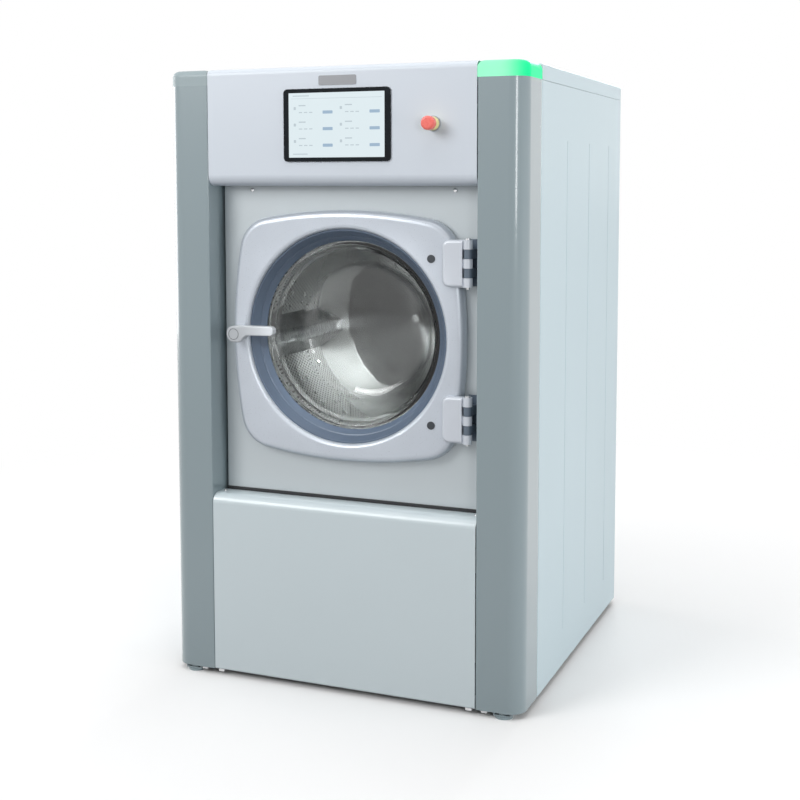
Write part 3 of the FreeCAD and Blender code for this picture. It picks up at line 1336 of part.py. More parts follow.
def door_handle():
    """Arched lever on a round boss, with its spindle and latch tongue inside the door."""
    front = DOOR_Y - HANDLE_PROUD
    tip = HANDLE_X + HANDLE_REACH
    left = HANDLE_X - HANDLE_BOSS
    bottom = AXIS_Z - HANDLE_BOSS
    top = AXIS_Z + LEVER_TOP
    neck = HANDLE_X + HANDLE_NECK
    face = outline([
        (left, bottom, HANDLE_BOSS - SEAM),
        (neck - HANDLE_BOSS + BEND, bottom, HANDLE_BOSS - TUBE_WALL),
        (neck, AXIS_Z - LEVER_LOW - SHEET, HANDLE_BOSS),
        (tip, AXIS_Z - LEVER_LOW, HANDLE_ROUND),
        (tip, top, HANDLE_ROUND),
        (neck, top, HANDLE_REACH),
        (left, top - TUBE_WALL, HANDLE_BOSS - TUBE_WALL),
    ], facing)
    face.translate(V(0, front, 0))
    lever = face.extrude(V(0, HANDLE_THICK, 0))
    lever = lever.makeFillet(TUBE_WALL, rim_edges(lever, lambda box: box.YMax < front + SEAM))
    boss = rod_y(HANDLE_BOSS, front + HANDLE_THICK - SEAM, DOOR_Y - CLEARANCE, HANDLE_X, AXIS_Z)
    latch = DOOR_Y + LATCH_DEPTH
    spindle = rod_y(HANDLE_SPINDLE, DOOR_Y - SHEET, latch + BEND, HANDLE_X, AXIS_Z)
    tongue = block(HANDLE_X - LATCH_REACH, HANDLE_X, latch, latch + BEND, AXIS_Z - BEND, AXIS_Z + BEND)
    return lever.fuse([boss, spindle, tongue]).removeSplitter()


def left_and_right(name, shape):
    """A piece on the right and its mirror image on the left."""
    return {name + "_right": shape, name + "_left": mirrored(shape)}


def build():
    """Every piece of the machine under its own name."""
    pieces = {
        "base_rail_left": base_rail(-1),
        "base_rail_right": base_rail(1),
        "base_crossmembers": base_crossmembers(),
        "levelling_feet": levelling_feet(),
        "pillar_cap_left": mirrored(cap_right()),
        "status_light_cap": cap_right(),
    }
    pieces.update(left_and_right("pillar", pillar_right()))
    pieces.update(left_and_right("side_panel", side_panel_right()))
    makers = [
        upper_frame, top_cover, rear_panel, rear_service_cover, control_panel, lower_panel,
        display_bezel, display_screen, estop_base, estop_collar, estop_stem, estop_head, control_box,
        water_inlet_valves, fill_hose, drain_outlet, drain_hose, damper_tubes, damper_rods,
        suspension_springs, tub_shell, tub_front, mouth_collar, tub_back, shaft_seal, tub_cradle,
        door_panel, door_gasket, bearing_housing, shaft_bearings, motor, motor_pulley, drum_pulley,
        drive_belt, heater_elements, drain_valve_body, drain_flap, drum_shell, drum_back, drum_lifters,
        drum_spider, drum_shaft, door_frame, door_ring, door_glass, hinge_leaves, hinge_brackets,
        hinge_pins, door_plugs, door_handle,
    ]
    for maker in makers:
        pieces[maker.__name__] = maker()
    return pieces


os.makedirs("parts", exist_ok=True)
for name, shape in build().items():
    shape.exportStep("parts/" + name + ".step")
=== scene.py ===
import math

import bmesh
import bpy
from mathutils import Matrix, Vector


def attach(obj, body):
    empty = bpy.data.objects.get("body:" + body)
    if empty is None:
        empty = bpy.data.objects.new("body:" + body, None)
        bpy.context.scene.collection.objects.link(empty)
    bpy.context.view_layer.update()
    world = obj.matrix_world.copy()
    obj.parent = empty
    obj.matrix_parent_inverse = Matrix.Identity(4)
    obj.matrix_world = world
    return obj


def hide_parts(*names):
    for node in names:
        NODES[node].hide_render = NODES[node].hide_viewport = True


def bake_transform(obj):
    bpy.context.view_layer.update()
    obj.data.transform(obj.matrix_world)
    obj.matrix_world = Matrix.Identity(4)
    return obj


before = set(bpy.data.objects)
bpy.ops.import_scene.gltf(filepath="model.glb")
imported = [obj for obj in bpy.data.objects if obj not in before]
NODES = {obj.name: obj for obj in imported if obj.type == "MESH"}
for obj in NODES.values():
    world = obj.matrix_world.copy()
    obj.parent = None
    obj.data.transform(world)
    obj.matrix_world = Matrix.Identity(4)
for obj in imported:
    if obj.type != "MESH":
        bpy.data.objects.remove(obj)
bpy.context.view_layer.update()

# Camera, fitted to the edges of the machine in the photograph
CAMERA_PLACE = (1.2105, -3.0047, 1.1532)
CAMERA_YAW = 21.708
CAMERA_PITCH = 4.979
CAMERA_LENS = 58.04
CAMERA_SHIFT = (-0.0207, -0.13)

# Paint and plastic colours, linear
PILLAR = (0.245, 0.312, 0.336)
CAP = (0.30, 0.37, 0.39)
PANEL = (0.65, 0.705, 0.77)
SIDE = (0.55, 0.665, 0.71)
RECESS = (0.535, 0.583, 0.605)
LOWER = (0.62, 0.705, 0.735)
DOOR = (0.54, 0.585, 0.645)
RING = (0.088, 0.124, 0.180)
HANDLE = (0.46, 0.485, 0.51)
HINGE = (0.63, 0.67, 0.73)
# Painted shade: the fixed hinge brackets are coloured dark slate, so that the knuckles read as in shadow
HINGE_SHADE = (0.115, 0.150, 0.195)
GREEN = (0.012, 0.95, 0.36)
MINT = (0.40, 1.05, 0.68)
RED = (0.90, 0.16, 0.13)
YELLOW = (0.93, 0.83, 0.38)
STEEL = (0.66, 0.67, 0.68)
DRUM_STEEL = (0.47, 0.475, 0.47)
DARK = (0.045, 0.05, 0.055)
RUBBER = (0.022, 0.023, 0.025)
BEZEL = (0.002, 0.005, 0.008)
SCREEN = (0.80, 0.91, 0.95)
WHITE = (0.85, 0.86, 0.87)
PLATE = (0.30, 0.31, 0.33)
SCREEN_GREY = (0.55, 0.64, 0.69)
SCREEN_BLUE = (0.36, 0.50, 0.65)
PLUG = (0.030, 0.036, 0.043)
SCREW = (0.70, 0.71, 0.72)
STOP_GREY = (0.34, 0.36, 0.38)
ZINC = (0.58, 0.59, 0.60)
CAST_IRON = (0.17, 0.18, 0.19)
CAST_ALUMINIUM = (0.60, 0.61, 0.63)
MOTOR = (0.16, 0.18, 0.20)
BOX = (0.42, 0.44, 0.46)
DRAIN = (0.20, 0.21, 0.22)

# Places on the machine, in metres
AXIS_Z = 0.811
FASCIA_Y = -0.435
REAR_Y = 0.4335
SCREEN_Y = -0.439
DISPLAY_Z = 1.281
HANDLE_AXIS = (-0.260, AXIS_Z)
# X at which the glow of the status cap leaves the pale tone and where it reaches the deep one
STATUS_FADE = (0.372, 0.432)

# Heights at which a soft piece is held by the cabinet and by the tub
FLEXIBLE = {"suspension_springs": (0.09, 0.27), "fill_hose": (1.24, 1.206), "drain_hose": (0.23, 0.32)}

# Drum, in metres
DRUM_RADIUS = 0.355
DRUM_SHEET = 0.003
DRUM_INSIDE = DRUM_RADIUS - DRUM_SHEET
DRUM_FRONT_Y = -0.303
DRUM_BACK_Y = 0.163
MOUTH_RADIUS = 0.260
LIP_Y = -0.287
HOLE_PITCH = 0.0105
HOLE_RADIUS = 0.0026
ROW_RISE = math.sin(math.radians(60))

# Steps round a turned piece
TURNS = 192
DRUM_TURNS = 256
SMALL_TURNS = 64

# Outlines of turned pieces: radius, place along Y and, where given, the radius of the corner
GLASS_OUTLINE = [
    (0.223, -0.362, 0.001), (0.207, -0.362, 0.003), (0.2005, -0.3535, 0.004), (0.2010, -0.3475, 0.004),
    (0.1935, -0.3395, 0.006), (0.150, -0.268, 0.040), (0, -0.262, 0), (0, -0.256, 0),
    (0.156, -0.262, 0.046), (0.213, -0.356, 0.002), (0.223, -0.356, 0.001),
]
RING_OUTLINE = [
    (0.2418, -0.395, 0), (0.238, -0.395, 0.0015), (0.2262, -0.3794, 0.001), (0.2274, -0.3774, 0.0005),
    (0.2246, -0.3762, 0.001), (0.213, -0.362, 0.0015), (0.2228, -0.362, 0), (0.2418, -0.385, 0),
]
WALL_OUTLINE = [
    (DRUM_RADIUS, DRUM_FRONT_Y), (DRUM_RADIUS, DRUM_BACK_Y),
    (DRUM_INSIDE, DRUM_BACK_Y), (DRUM_INSIDE, DRUM_FRONT_Y),
]
MOUTH_OUTLINE = [
    (DRUM_INSIDE, DRUM_FRONT_Y, 0), (DRUM_INSIDE, DRUM_FRONT_Y + DRUM_SHEET, 0),
    (MOUTH_RADIUS, DRUM_FRONT_Y + DRUM_SHEET, 0), (MOUTH_RADIUS, LIP_Y, 0.001),
    (MOUTH_RADIUS - DRUM_SHEET, LIP_Y, 0.001), (MOUTH_RADIUS - DRUM_SHEET, DRUM_FRONT_Y, 0.004),
]
CONE_OUTLINE = [
    (DRUM_INSIDE, DRUM_BACK_Y - DRUM_SHEET, 0), (0.247, DRUM_BACK_Y - DRUM_SHEET, 0.024),
    (0.010, 0.0283, 0.020), (0, 0.0283, 0), (0, 0.0313, 0), (0.0085, 0.0313, 0.017),
    (0.2455, DRUM_BACK_Y, 0.027), (DRUM_INSIDE, DRUM_BACK_Y, 0),
]
HANDLE_LINE = [(0.0118, -0.4410), (0.0118, -0.4413), (0.0128, -0.4413), (0.0128, -0.4410)]

# Small flat pieces: size, centre and corner radius
BLANK_PLATE = ((0.090, 0.0012, 0.021), (0.002, FASCIA_Y - 0.0006, 1.378), 0.003)
# Painted shade: a thin black strip along the gap between the door panel and the ledge, where that gap lies
# in shadow
LEDGE_SHADE_STRIP = ((0.634, 0.003, 0.007), (0, -0.3768, 0.4375), 0.001)
# Painted highlights: small white marks along the panels' bottom edges, for the bright notches seen there
GLINT_SIZE = (0.014, 0.004, 0.007)
SKIRT_GLINTS = [(GLINT_SIZE, (x, FASCIA_Y + 0.004, 0.0125), 0.0015) for x in (-0.352, -0.308, 0.308, 0.344)]

# Screw heads: places, radius, direction they look in and the body they ride on
REAR_SCREW_Z = (0.05, 0.36, 0.67, 0.98, 1.03, 1.35)
REAR_PLACES = [(x, REAR_Y, z) for x in (-0.405, 0.405) for z in REAR_SCREW_Z]
SCREWS = {
    "niche_screws": ([(x, -0.3755, 1.1385) for x in (-0.243, 0.254)], 0.005, (0, -1, 0), "tub"),
    "ledge_screws": ([(x, -0.396, 0.4342) for x in (-0.312, 0.312)], 0.0045, (0, 0, 1), "cabinet"),
    "rear_screws": (REAR_PLACES, 0.0055, (0, 1, 0), "cabinet"),
}

# Touch screen: marks as (width, height), place from the middle of the display or cell, corner radius
SCREEN_FILM = 0.0002
SCREEN_COLUMNS = (-0.056, 0.056)
SCREEN_ROWS = (0.034, -0.002, -0.038)
PAGE_MARKS = [
    ((0.218, 0.0008), (0, 0.058), 0.0003),
    ((0.040, 0.0022), (-0.085, 0.064), 0.0008),
    ((0.036, 0.0022), (-0.087, -0.063), 0.0008),
]
CELL_MARKS = [
    ((0.0055, 0.0065), (-0.044, 0.003), 0.0015),
    ((0.017, 0.0026), (-0.026, 0.009), 0.0008),
    *[((0.0085, 0.0022), (x, -0.006), 0.0008) for x in (-0.030, -0.0175, -0.005)],
]
CELL_BUTTON = ((0.024, 0.0068), (0.036, -0.006), 0.0012)

# Light of the room above and below the horizon, and the height of the change
ROOM_LIGHT = 0.48
ROOM_LOW_LIGHT = 0.12
ROOM_CHANGE = 0.25

# Lamps: place, point aimed at, width and height, and power
LAMPS = {
    "key": ((-1.9, -3.3, 2.7), (0, -0.3, 0.95), (1.9, 1.9), 78.0),
    "side": ((3.7, -0.2, 0.8), (0.4, 0, 0.6), (2.6, 1.4), 65.0),
    "strip": ((2.05, -3.0, 1.42), (0.4, -0.4, 1.2), (0.6, 0.85), 14.0),
    "top": ((0, -0.6, 4.2), (0, 0, 1.4), (3.0, 3.0), 42.0),
    "back": ((0, 4.1, 2.2), (0, 0, 0.7), (1.6, 2.4), 88.0),
    "left": ((-4.0, 0.5, 1.5), (-0.4, 0, 0.7), (2.6, 2.4), 52.0),
}
# Narrow beams through the window into the drum: place and power
WINDOW_BEAMS = {"window": ((1.7, -3.3, 2.3), 850.0), "window_fill": ((-1.5, -3.4, 2.6), 400.0)}
WINDOW_AIM = (0, -0.38, AXIS_Z)
BEAM_ANGLE = 5.6
BEAM_EDGE = 0.5
BEAM_RADIUS = 0.08

# Floor: colour as seen, colour that throws light back, distances of its change to white, half its side
FLOOR_SEEN = (0.86, 0.86, 0.86, 1.0)
FLOOR_BOUNCE = (0.17, 0.17, 0.18, 1.0)
FLOOR_FADE = (0.9, 2.6)
FLOOR_HALF = 14.0


class Tree:
    """A material's node tree with its main shader, built by short calls."""

    def __init__(self, name):
        self.material = bpy.data.materials.new(name)
        self.material.use_nodes = True
        self.nodes = self.material.node_tree.nodes
        self.links = self.material.node_tree.links
        self.shader = self.nodes["Principled BSDF"]
        self.output = self.nodes["Material Output"]

    def add(self, kind, **settings):
        made = self.nodes.new(kind)
        for key, value in settings.items():
            setattr(made, key, value)
        return made

    def join(self, source, target):
        self.links.new(source, target)

    def set(self, **values):
        for key, value in values.items():
            socket = self.shader.inputs[key.replace("_", " ")]
            socket.default_value = value

    def place(self, stretch=(1, 1, 1)):
        """Object coordinates in metres, stretched along the axes."""
        source = self.add("ShaderNodeTexCoord").outputs["Object"]
        mapping = self.add("ShaderNodeMapping")
        mapping.inputs["Scale"].default_value = stretch
        self.join(source, mapping.inputs["Vector"])
        return mapping.outputs["Vector"]

    def noise(self, scale, detail=4.0, roughness=0.5, stretch=(1, 1, 1)):
        made = self.add("ShaderNodeTexNoise")
        made.inputs["Scale"].default_value = scale
        made.inputs["Detail"].default_value = detail
        made.inputs["Roughness"].default_value = roughness
        self.join(self.place(stretch), made.inputs["Vector"])
        return made.outputs["Fac"]

    def sum(self, operation, first, second):
        """Arithmetic on a value, with a number or another value."""
        made = self.add("ShaderNodeMath", operation=operation)
        for index, value in enumerate((first, second)):
            if isinstance(value, (int, float)):
                made.inputs[index].default_value = value
            else:
                self.join(value, made.inputs[index])
        return made.outputs["Value"]

    def spread(self, value, low, high, reach=0.2):
        """Maps a noise value, which lies within a reach of one half, onto a range."""
        made = self.add("ShaderNodeMapRange")
        made.inputs["From Min"].default_value = 0.5 - reach
        made.inputs["From Max"].default_value = 0.5 + reach
        made.inputs["To Min"].default_value = low
        made.inputs["To Max"].default_value = high
        self.join(value, made.inputs["Value"])
        return made.outputs["Result"]

    def tint(self, value, low, high):
        """Mixes two colours by a noise value and feeds the shader's colour."""
        made = self.add("ShaderNodeMix", data_type="RGBA")
        made.inputs["A"].default_value = (*low, 1)
        made.inputs["B"].default_value = (*high, 1)
        self.join(value, made.inputs["Factor"])
        self.join(made.outputs["Result"], self.shader.inputs["Base Color"])

    def bump(self, value, strength, distance):
        made = self.add("ShaderNodeBump")
        made.inputs["Strength"].default_value = strength
        made.inputs["Distance"].default_value = distance
        self.join(value, made.inputs["Height"])
        self.join(made.outputs["Normal"], self.shader.inputs["Normal"])


def shade(colour, factor):
    """Lighter or darker form of a colour."""
    return tuple(channel * factor for channel in colour)


def painted(name, colour, roughness=0.40, peel=0.006, metallic=0.0, coat=0.0, cloud=0.02):
    """Powder-coated sheet: slight unevenness of tone and a fine orange-peel surface."""
    tree = Tree(name)
    tone = tree.spread(tree.noise(2.2, 1.0), 0.0, 1.0, 0.45)
    tree.tint(tone, shade(colour, 1 - cloud), shade(colour, 1 + cloud))
    tree.join(tree.spread(tree.noise(3.0, 0.0), roughness - 0.02, roughness + 0.02, 0.45),
              tree.shader.inputs["Roughness"])
    tree.bump(tree.noise(620.0, 2.0), peel, 0.0002)
    tree.set(Specular_IOR_Level=0.45, Metallic=metallic, Coat_Weight=coat, Coat_Roughness=0.10)
    return tree.material


def moulded(name, colour, roughness=0.45, grain=0.05, coat=0.0, metallic=0.0):
    """Moulded plastic or lacquer: fine grain and faint flow marks."""
    tree = Tree(name)
    tree.tint(tree.spread(tree.noise(9.0, 3.0), 0.0, 1.0), shade(colour, 0.96), shade(colour, 1.03))
    tree.join(tree.spread(tree.noise(420.0, 2.0), roughness - 0.04, roughness + 0.05),
              tree.shader.inputs["Roughness"])
    tree.bump(tree.noise(1500.0, 2.0), grain, 0.0003)
    tree.set(Coat_Weight=coat, Metallic=metallic)
    return tree.material


def brushed(name, colour, roughness=0.28, stretch=(1, 60, 1), anisotropy=0.5):
    """Brushed metal with its grain drawn out along one direction."""
    tree = Tree(name)
    grain = tree.noise(60.0, 6.0, 0.6, stretch)
    tree.tint(tree.spread(grain, 0.0, 1.0), shade(colour, 0.92), shade(colour, 1.04))
    tree.join(tree.spread(grain, roughness - 0.06, roughness + 0.08), tree.shader.inputs["Roughness"])
    tree.bump(grain, 0.05, 0.0004)
    tree.set(Metallic=1.0, Anisotropic=anisotropy)
    return tree.material


def turned_steel(name, colour, roughness=0.27):
    """Sheet polished in circles round the drum axis, which fans the light out in wedges."""
    tree = Tree(name)
    tangent = tree.add("ShaderNodeTangent", direction_type="RADIAL", axis="Y")
    tree.join(tangent.outputs["Tangent"], tree.shader.inputs["Tangent"])
    grain = tree.noise(5.0, 1.0)
    tree.tint(tree.spread(grain, 0.0, 1.0, 0.45), shade(colour, 0.97), shade(colour, 1.02))
    tree.join(tree.spread(grain, roughness - 0.01, roughness + 0.01, 0.45), tree.shader.inputs["Roughness"])
    tree.set(Metallic=1.0, Anisotropic=0.85)
    return tree.material


def perforated(name, colour, roughness=0.30):
    """Drum wall with staggered rows of small pressed holes, laid out by angle and depth; the holes are
    painted dark as shade.
    """
    tree = Tree(name)
    place = tree.add("ShaderNodeSeparateXYZ")
    tree.join(tree.add("ShaderNodeTexCoord").outputs["Object"], place.inputs["Vector"])
    rise = tree.sum("SUBTRACT", place.outputs["Z"], AXIS_Z)
    turn = tree.sum("ARCTAN2", place.outputs["X"], rise)
    around = tree.sum("MULTIPLY", turn, DRUM_RADIUS / HOLE_PITCH)
    along = tree.sum("MULTIPLY", place.outputs["Y"], 1 / (HOLE_PITCH * ROW_RISE))
    row = tree.sum("FLOOR", along, 0)
    stagger = tree.sum("MULTIPLY", tree.sum("FLOORED_MODULO", row, 2.0), 0.5)
    across = tree.sum("SUBTRACT", tree.sum("FRACT", tree.sum("ADD", around, stagger), 0), 0.5)
    down = tree.sum("SUBTRACT", tree.sum("FRACT", along, 0), 0.5)
    reach = tree.add("ShaderNodeCombineXYZ")
    tree.join(across, reach.inputs["X"])
    tree.join(tree.sum("MULTIPLY", down, ROW_RISE), reach.inputs["Y"])
    length = tree.add("ShaderNodeVectorMath", operation="LENGTH")
    tree.join(reach.outputs["Vector"], length.inputs[0])
    solid = tree.add("ShaderNodeMapRange", interpolation_type="SMOOTHSTEP")
    solid.inputs["From Min"].default_value = 0.75 * HOLE_RADIUS / HOLE_PITCH
    solid.inputs["From Max"].default_value = 1.35 * HOLE_RADIUS / HOLE_PITCH
    tree.join(length.outputs["Value"], solid.inputs["Value"])
    # Painted shade: the holes are coloured at a tenth of the steel, for the dim tub seen through them
    tree.tint(solid.outputs["Result"], shade(colour, 0.10), colour)
    tree.bump(solid.outputs["Result"], 0.6, 0.002)
    grain = tree.noise(40.0, 4.0)
    tree.join(tree.spread(grain, roughness - 0.05, roughness + 0.08), tree.shader.inputs["Roughness"])
    tree.set(Metallic=1.0)
    return tree.material


def cast(name, colour, metallic=0.0, roughness=0.55):
    """Cast and blasted metal with a sandy skin."""
    tree = Tree(name)
    grain = tree.noise(380.0, 5.0, 0.65)
    tree.tint(tree.spread(grain, 0.0, 1.0), shade(colour, 0.88), shade(colour, 1.06))
    tree.join(tree.spread(grain, roughness - 0.07, roughness + 0.08), tree.shader.inputs["Roughness"])
    tree.bump(grain, 0.16, 0.0006)
    tree.set(Metallic=metallic)
    return tree.material


def rubber(name):
    """Black rubber with a dull grain."""
    tree = Tree(name)
    grain = tree.noise(520.0, 4.0)
    tree.tint(tree.spread(grain, 0.0, 1.0), shade(RUBBER, 0.8), shade(RUBBER, 1.5))
    tree.join(tree.spread(grain, 0.55, 0.75), tree.shader.inputs["Roughness"])
    tree.bump(grain, 0.12, 0.0004)
    return tree.material


def clear_glass(name):
    """Pressed glass that lets lamp light through to the drum."""
    tree = Tree(name)
    waves = tree.noise(14.0, 2.0)
    tree.join(tree.spread(waves, 0.004, 0.006), tree.shader.inputs["Roughness"])
    tree.set(Base_Color=(0.97, 0.99, 0.99, 1), Transmission_Weight=1.0, IOR=1.45)
    clear = tree.add("ShaderNodeBsdfTransparent")
    clear.inputs["Color"].default_value = (0.95, 0.97, 0.97, 1)
    path = tree.add("ShaderNodeLightPath")
    blend = tree.add("ShaderNodeMixShader")
    tree.join(path.outputs["Is Shadow Ray"], blend.inputs["Fac"])
    tree.join(tree.shader.outputs["BSDF"], blend.inputs[1])
    tree.join(clear.outputs["BSDF"], blend.inputs[2])
    tree.join(blend.outputs["Shader"], tree.output.inputs["Surface"])
    return tree.material


def status_glow(name):
    """Lit cap: pale where its lamp sits, a deeper green towards the outer corner."""
    tree = Tree(name)
    place = tree.add("ShaderNodeSeparateXYZ")
    tree.join(tree.add("ShaderNodeTexCoord").outputs["Object"], place.inputs["Vector"])
    along = tree.add("ShaderNodeMapRange", interpolation_type="SMOOTHSTEP")
    along.inputs["From Min"].default_value, along.inputs["From Max"].default_value = STATUS_FADE
    tree.join(place.outputs["X"], along.inputs["Value"])
    colour = tree.add("ShaderNodeMix", data_type="RGBA")
    colour.inputs["A"].default_value = (*MINT, 1)
    colour.inputs["B"].default_value = (*GREEN, 1)
    tree.join(along.outputs["Result"], colour.inputs["Factor"])
    tree.join(colour.outputs["Result"], tree.shader.inputs["Emission Color"])
    tree.join(tree.spread(tree.noise(30.0, 2.0), 0.88, 0.94), tree.shader.inputs["Emission Strength"])
    tree.set(Base_Color=(*shade(GREEN, 0.12), 1), Roughness=0.35, Specular_IOR_Level=0.06)
    return tree.material


def polished_black(name):
    """Black glass of the display, with faint finger marks in its gloss."""
    tree = Tree(name)
    marks = tree.noise(45.0, 3.0)
    tree.tint(tree.spread(marks, 0.0, 1.0), shade(BEZEL, 0.7), shade(BEZEL, 1.4))
    tree.join(tree.spread(marks, 0.04, 0.12), tree.shader.inputs["Roughness"])
    tree.set(Specular_IOR_Level=0.2)
    return tree.material


def lit(name, colour, glow, roughness=0.3, depth=1.0):
    """Surface that gives off its own even light; depth is how much of its colour lamp light shows."""
    tree = Tree(name)
    cloud = tree.noise(16.0, 2.0)
    tree.tint(tree.spread(cloud, 0.0, 1.0), shade(colour, 0.95 * depth), shade(colour, depth))
    tree.join(tree.spread(cloud, roughness - 0.03, roughness + 0.03), tree.shader.inputs["Roughness"])
    tree.set(Emission_Color=(*colour, 1), Emission_Strength=glow)
    return tree.material


MATERIALS = {
    "pillar_paint": painted("pillar_paint", PILLAR, roughness=0.30, coat=1.0),
    "panel_paint": painted("panel_paint", PANEL, roughness=0.34),
    "side_paint": painted("side_paint", SIDE, roughness=0.42),
    "recess_paint": painted("recess_paint", RECESS, roughness=0.36, metallic=0.25),
    "lower_paint": painted("lower_paint", LOWER, roughness=0.30, coat=0.5, cloud=0.012),
    "cap_plastic": moulded("cap_plastic", CAP, roughness=0.42),
    "status_glow": status_glow("status_glow"),
    "door_lacquer": moulded("door_lacquer", DOOR, roughness=0.31, grain=0.006, coat=0.25, metallic=0.25),
    "ring_plastic": moulded("ring_plastic", RING, roughness=0.38, grain=0.03),
    "handle_lacquer": moulded("handle_lacquer", HANDLE, roughness=0.36, grain=0.04, coat=0.1),
    "hinge_cast": moulded("hinge_cast", HINGE, roughness=0.32, grain=0.006, coat=0.2, metallic=0.1),
    # Brackets in painted shade: the knuckles darker as if in shadow
    "hinge_shade": moulded("hinge_shade", HINGE_SHADE, roughness=0.36, grain=0.006, coat=0.1),
    "plug_plastic": moulded("plug_plastic", PLUG, roughness=0.5),
    "glass": clear_glass("glass"),
    "display_glass": polished_black("display_glass"),
    "screen": lit("screen", SCREEN, glow=0.86, roughness=0.12, depth=0.03),
    "screen_grey": lit("screen_grey", SCREEN_GREY, glow=0.86, roughness=0.12, depth=0.03),
    "screen_blue": lit("screen_blue", SCREEN_BLUE, glow=0.86, roughness=0.12, depth=0.03),
    "plate": moulded("plate", PLATE, roughness=0.35),
    "screw": brushed("screw", SCREW, roughness=0.25),
    # White marks that paint highlights along the bottom edges of the panels
    "skirt_glint": moulded("skirt_glint", WHITE, roughness=0.4),
    "drum_wall": perforated("drum_wall", DRUM_STEEL),
    "stop_red": moulded("stop_red", RED, roughness=0.28, grain=0.02, coat=0.3),
    "stop_yellow": moulded("stop_yellow", YELLOW, roughness=0.4),
    "stop_grey": moulded("stop_grey", STOP_GREY, roughness=0.5),
    "drum_turned": turned_steel("drum_turned", DRUM_STEEL),
    "stainless": brushed("stainless", STEEL, roughness=0.26),
    "frame_paint": painted("frame_paint", DARK, roughness=0.5),
    "zinc": brushed("zinc", ZINC, roughness=0.34, stretch=(1, 1, 40), anisotropy=0.3),
    "cast_iron": cast("cast_iron", CAST_IRON, metallic=0.0, roughness=0.6),
    "cast_aluminium": cast("cast_aluminium", CAST_ALUMINIUM, metallic=0.9, roughness=0.42),
    "motor_paint": painted("motor_paint", MOTOR, roughness=0.5, peel=0.05),
    "rubber": rubber("rubber"),
    "box_paint": painted("box_paint", BOX, roughness=0.5),
    "valve_plastic": moulded("valve_plastic", WHITE, roughness=0.45),
    "drain_plastic": moulded("drain_plastic", DRAIN, roughness=0.5),
}

# The finish of each node of the frame, also of those that a smoother piece replaces
FINISH = {
    "pillar_paint": ["pillar_left", "pillar_right", "base_rail_left", "base_rail_right", "levelling_feet"],
    "panel_paint": ["control_panel"],
    "side_paint": ["side_panel_left", "side_panel_right", "top_cover", "rear_panel", "rear_service_cover"],
    "recess_paint": ["door_panel"],
    "lower_paint": ["lower_panel"],
    "cap_plastic": ["pillar_cap_left"],
    "status_glow": ["status_light_cap"],
    "door_lacquer": ["door_frame"],
    "ring_plastic": ["door_ring"],
    "handle_lacquer": ["door_handle"],
    "hinge_cast": ["hinge_leaves"],
    "hinge_shade": ["hinge_brackets"],
    "plug_plastic": ["door_plugs"],
    "glass": ["door_glass"],
    "display_glass": ["display_bezel"],
    "screen": ["display_screen"],
    "stop_red": ["estop_head"],
    "stop_yellow": ["estop_collar"],
    "stop_grey": ["estop_base"],
    "drum_turned": ["drum_back"],
    "drum_wall": ["drum_shell"],
    "stainless": ["drum_lifters", "tub_shell", "tub_front", "tub_back", "mouth_collar"],
    "frame_paint": ["base_crossmembers", "upper_frame", "tub_cradle", "suspension_springs", "damper_tubes"],
    "zinc": ["damper_rods", "hinge_pins", "drum_shaft", "shaft_bearings", "motor_pulley",
             "heater_elements", "estop_stem"],
    "cast_iron": ["bearing_housing"],
    "cast_aluminium": ["drum_spider", "drum_pulley"],
    "motor_paint": ["motor"],
    "rubber": ["door_gasket", "fill_hose", "drain_hose", "shaft_seal", "drive_belt"],
    "box_paint": ["control_box"],
    "valve_plastic": ["water_inlet_valves"],
    "drain_plastic": ["drain_outlet", "drain_valve_body", "drain_flap"],
}


def dress(piece, material):
    """Gives a piece one material."""
    piece.data.materials.clear()
    piece.data.materials.append(MATERIALS[material])


for material, names in FINISH.items():
    for name in names:
        dress(NODES[name], material)


def finished(name, shape, material, body, sharp=35.0):
    """Object from a built mesh: smooth faces, creases above the given angle, on its body."""
    for face in shape.faces:
        face.smooth = True
    limit = math.radians(sharp)
    for edge in shape.edges:
        edge.smooth = len(edge.link_faces) == 2 and edge.calc_face_angle() < limit
    mesh = bpy.data.meshes.new(name)
    shape.to_mesh(mesh)
    shape.free()
    piece = bpy.data.objects.new(name, mesh)
    bpy.context.scene.collection.objects.link(piece)
    dress(piece, material)
    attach(piece, body)
    return piece


def lathe(name, profile, material, body, centre=(0.0, AXIS_Z), turns=TURNS):
    """Closed (radius, y) outline turned about an axis along Y; radius 0 closes to a point."""
    shape = bmesh.new()
    rings = []
    for radius, y in profile:
        count = turns if radius > 0 else 1
        ring = []
        for step in range(count):
            turn = 2 * math.pi * step / turns
            ring.append(shape.verts.new((centre[0] + radius * math.cos(turn), y,
                                         centre[1] + radius * math.sin(turn))))
        rings.append(ring)
    for first, second in zip(rings, rings[1:] + rings[:1]):
        if len(first) == 1 and len(second) == 1:
            continue
        for step in range(turns):
            after = (step + 1) % turns
            corners = [first[step % len(first)], second[step % len(second)],
                       second[after % len(second)], first[after % len(first)]]
            shape.faces.new(list(dict.fromkeys(corners)))
    bmesh.ops.recalc_face_normals(shape, faces=shape.faces)
    return finished(name, shape, material, body)


def rounded(points, steps=8):
    """Outline of (radius, y, corner radius) points with its corners rounded by arcs."""
    done = []
    for index, (r, y, bend) in enumerate(points):
        corner = Vector((r, y))
        if bend <= 0:
            done.append((r, y))
            continue
        into = (Vector(points[index - 1][:2]) - corner).normalized()
        out = (Vector(points[(index + 1) % len(points)][:2]) - corner).normalized()
        half = into.angle(out) / 2
        reach = bend / math.tan(half)
        start = corner + into * reach
        end = corner + out * reach
        middle = corner + (into + out).normalized() * (bend / math.sin(half))
        for step in range(steps + 1):
            part = step / steps
            spot = start.lerp(end, part) - middle
            done.append(tuple(middle + spot.normalized() * bend))
    return done


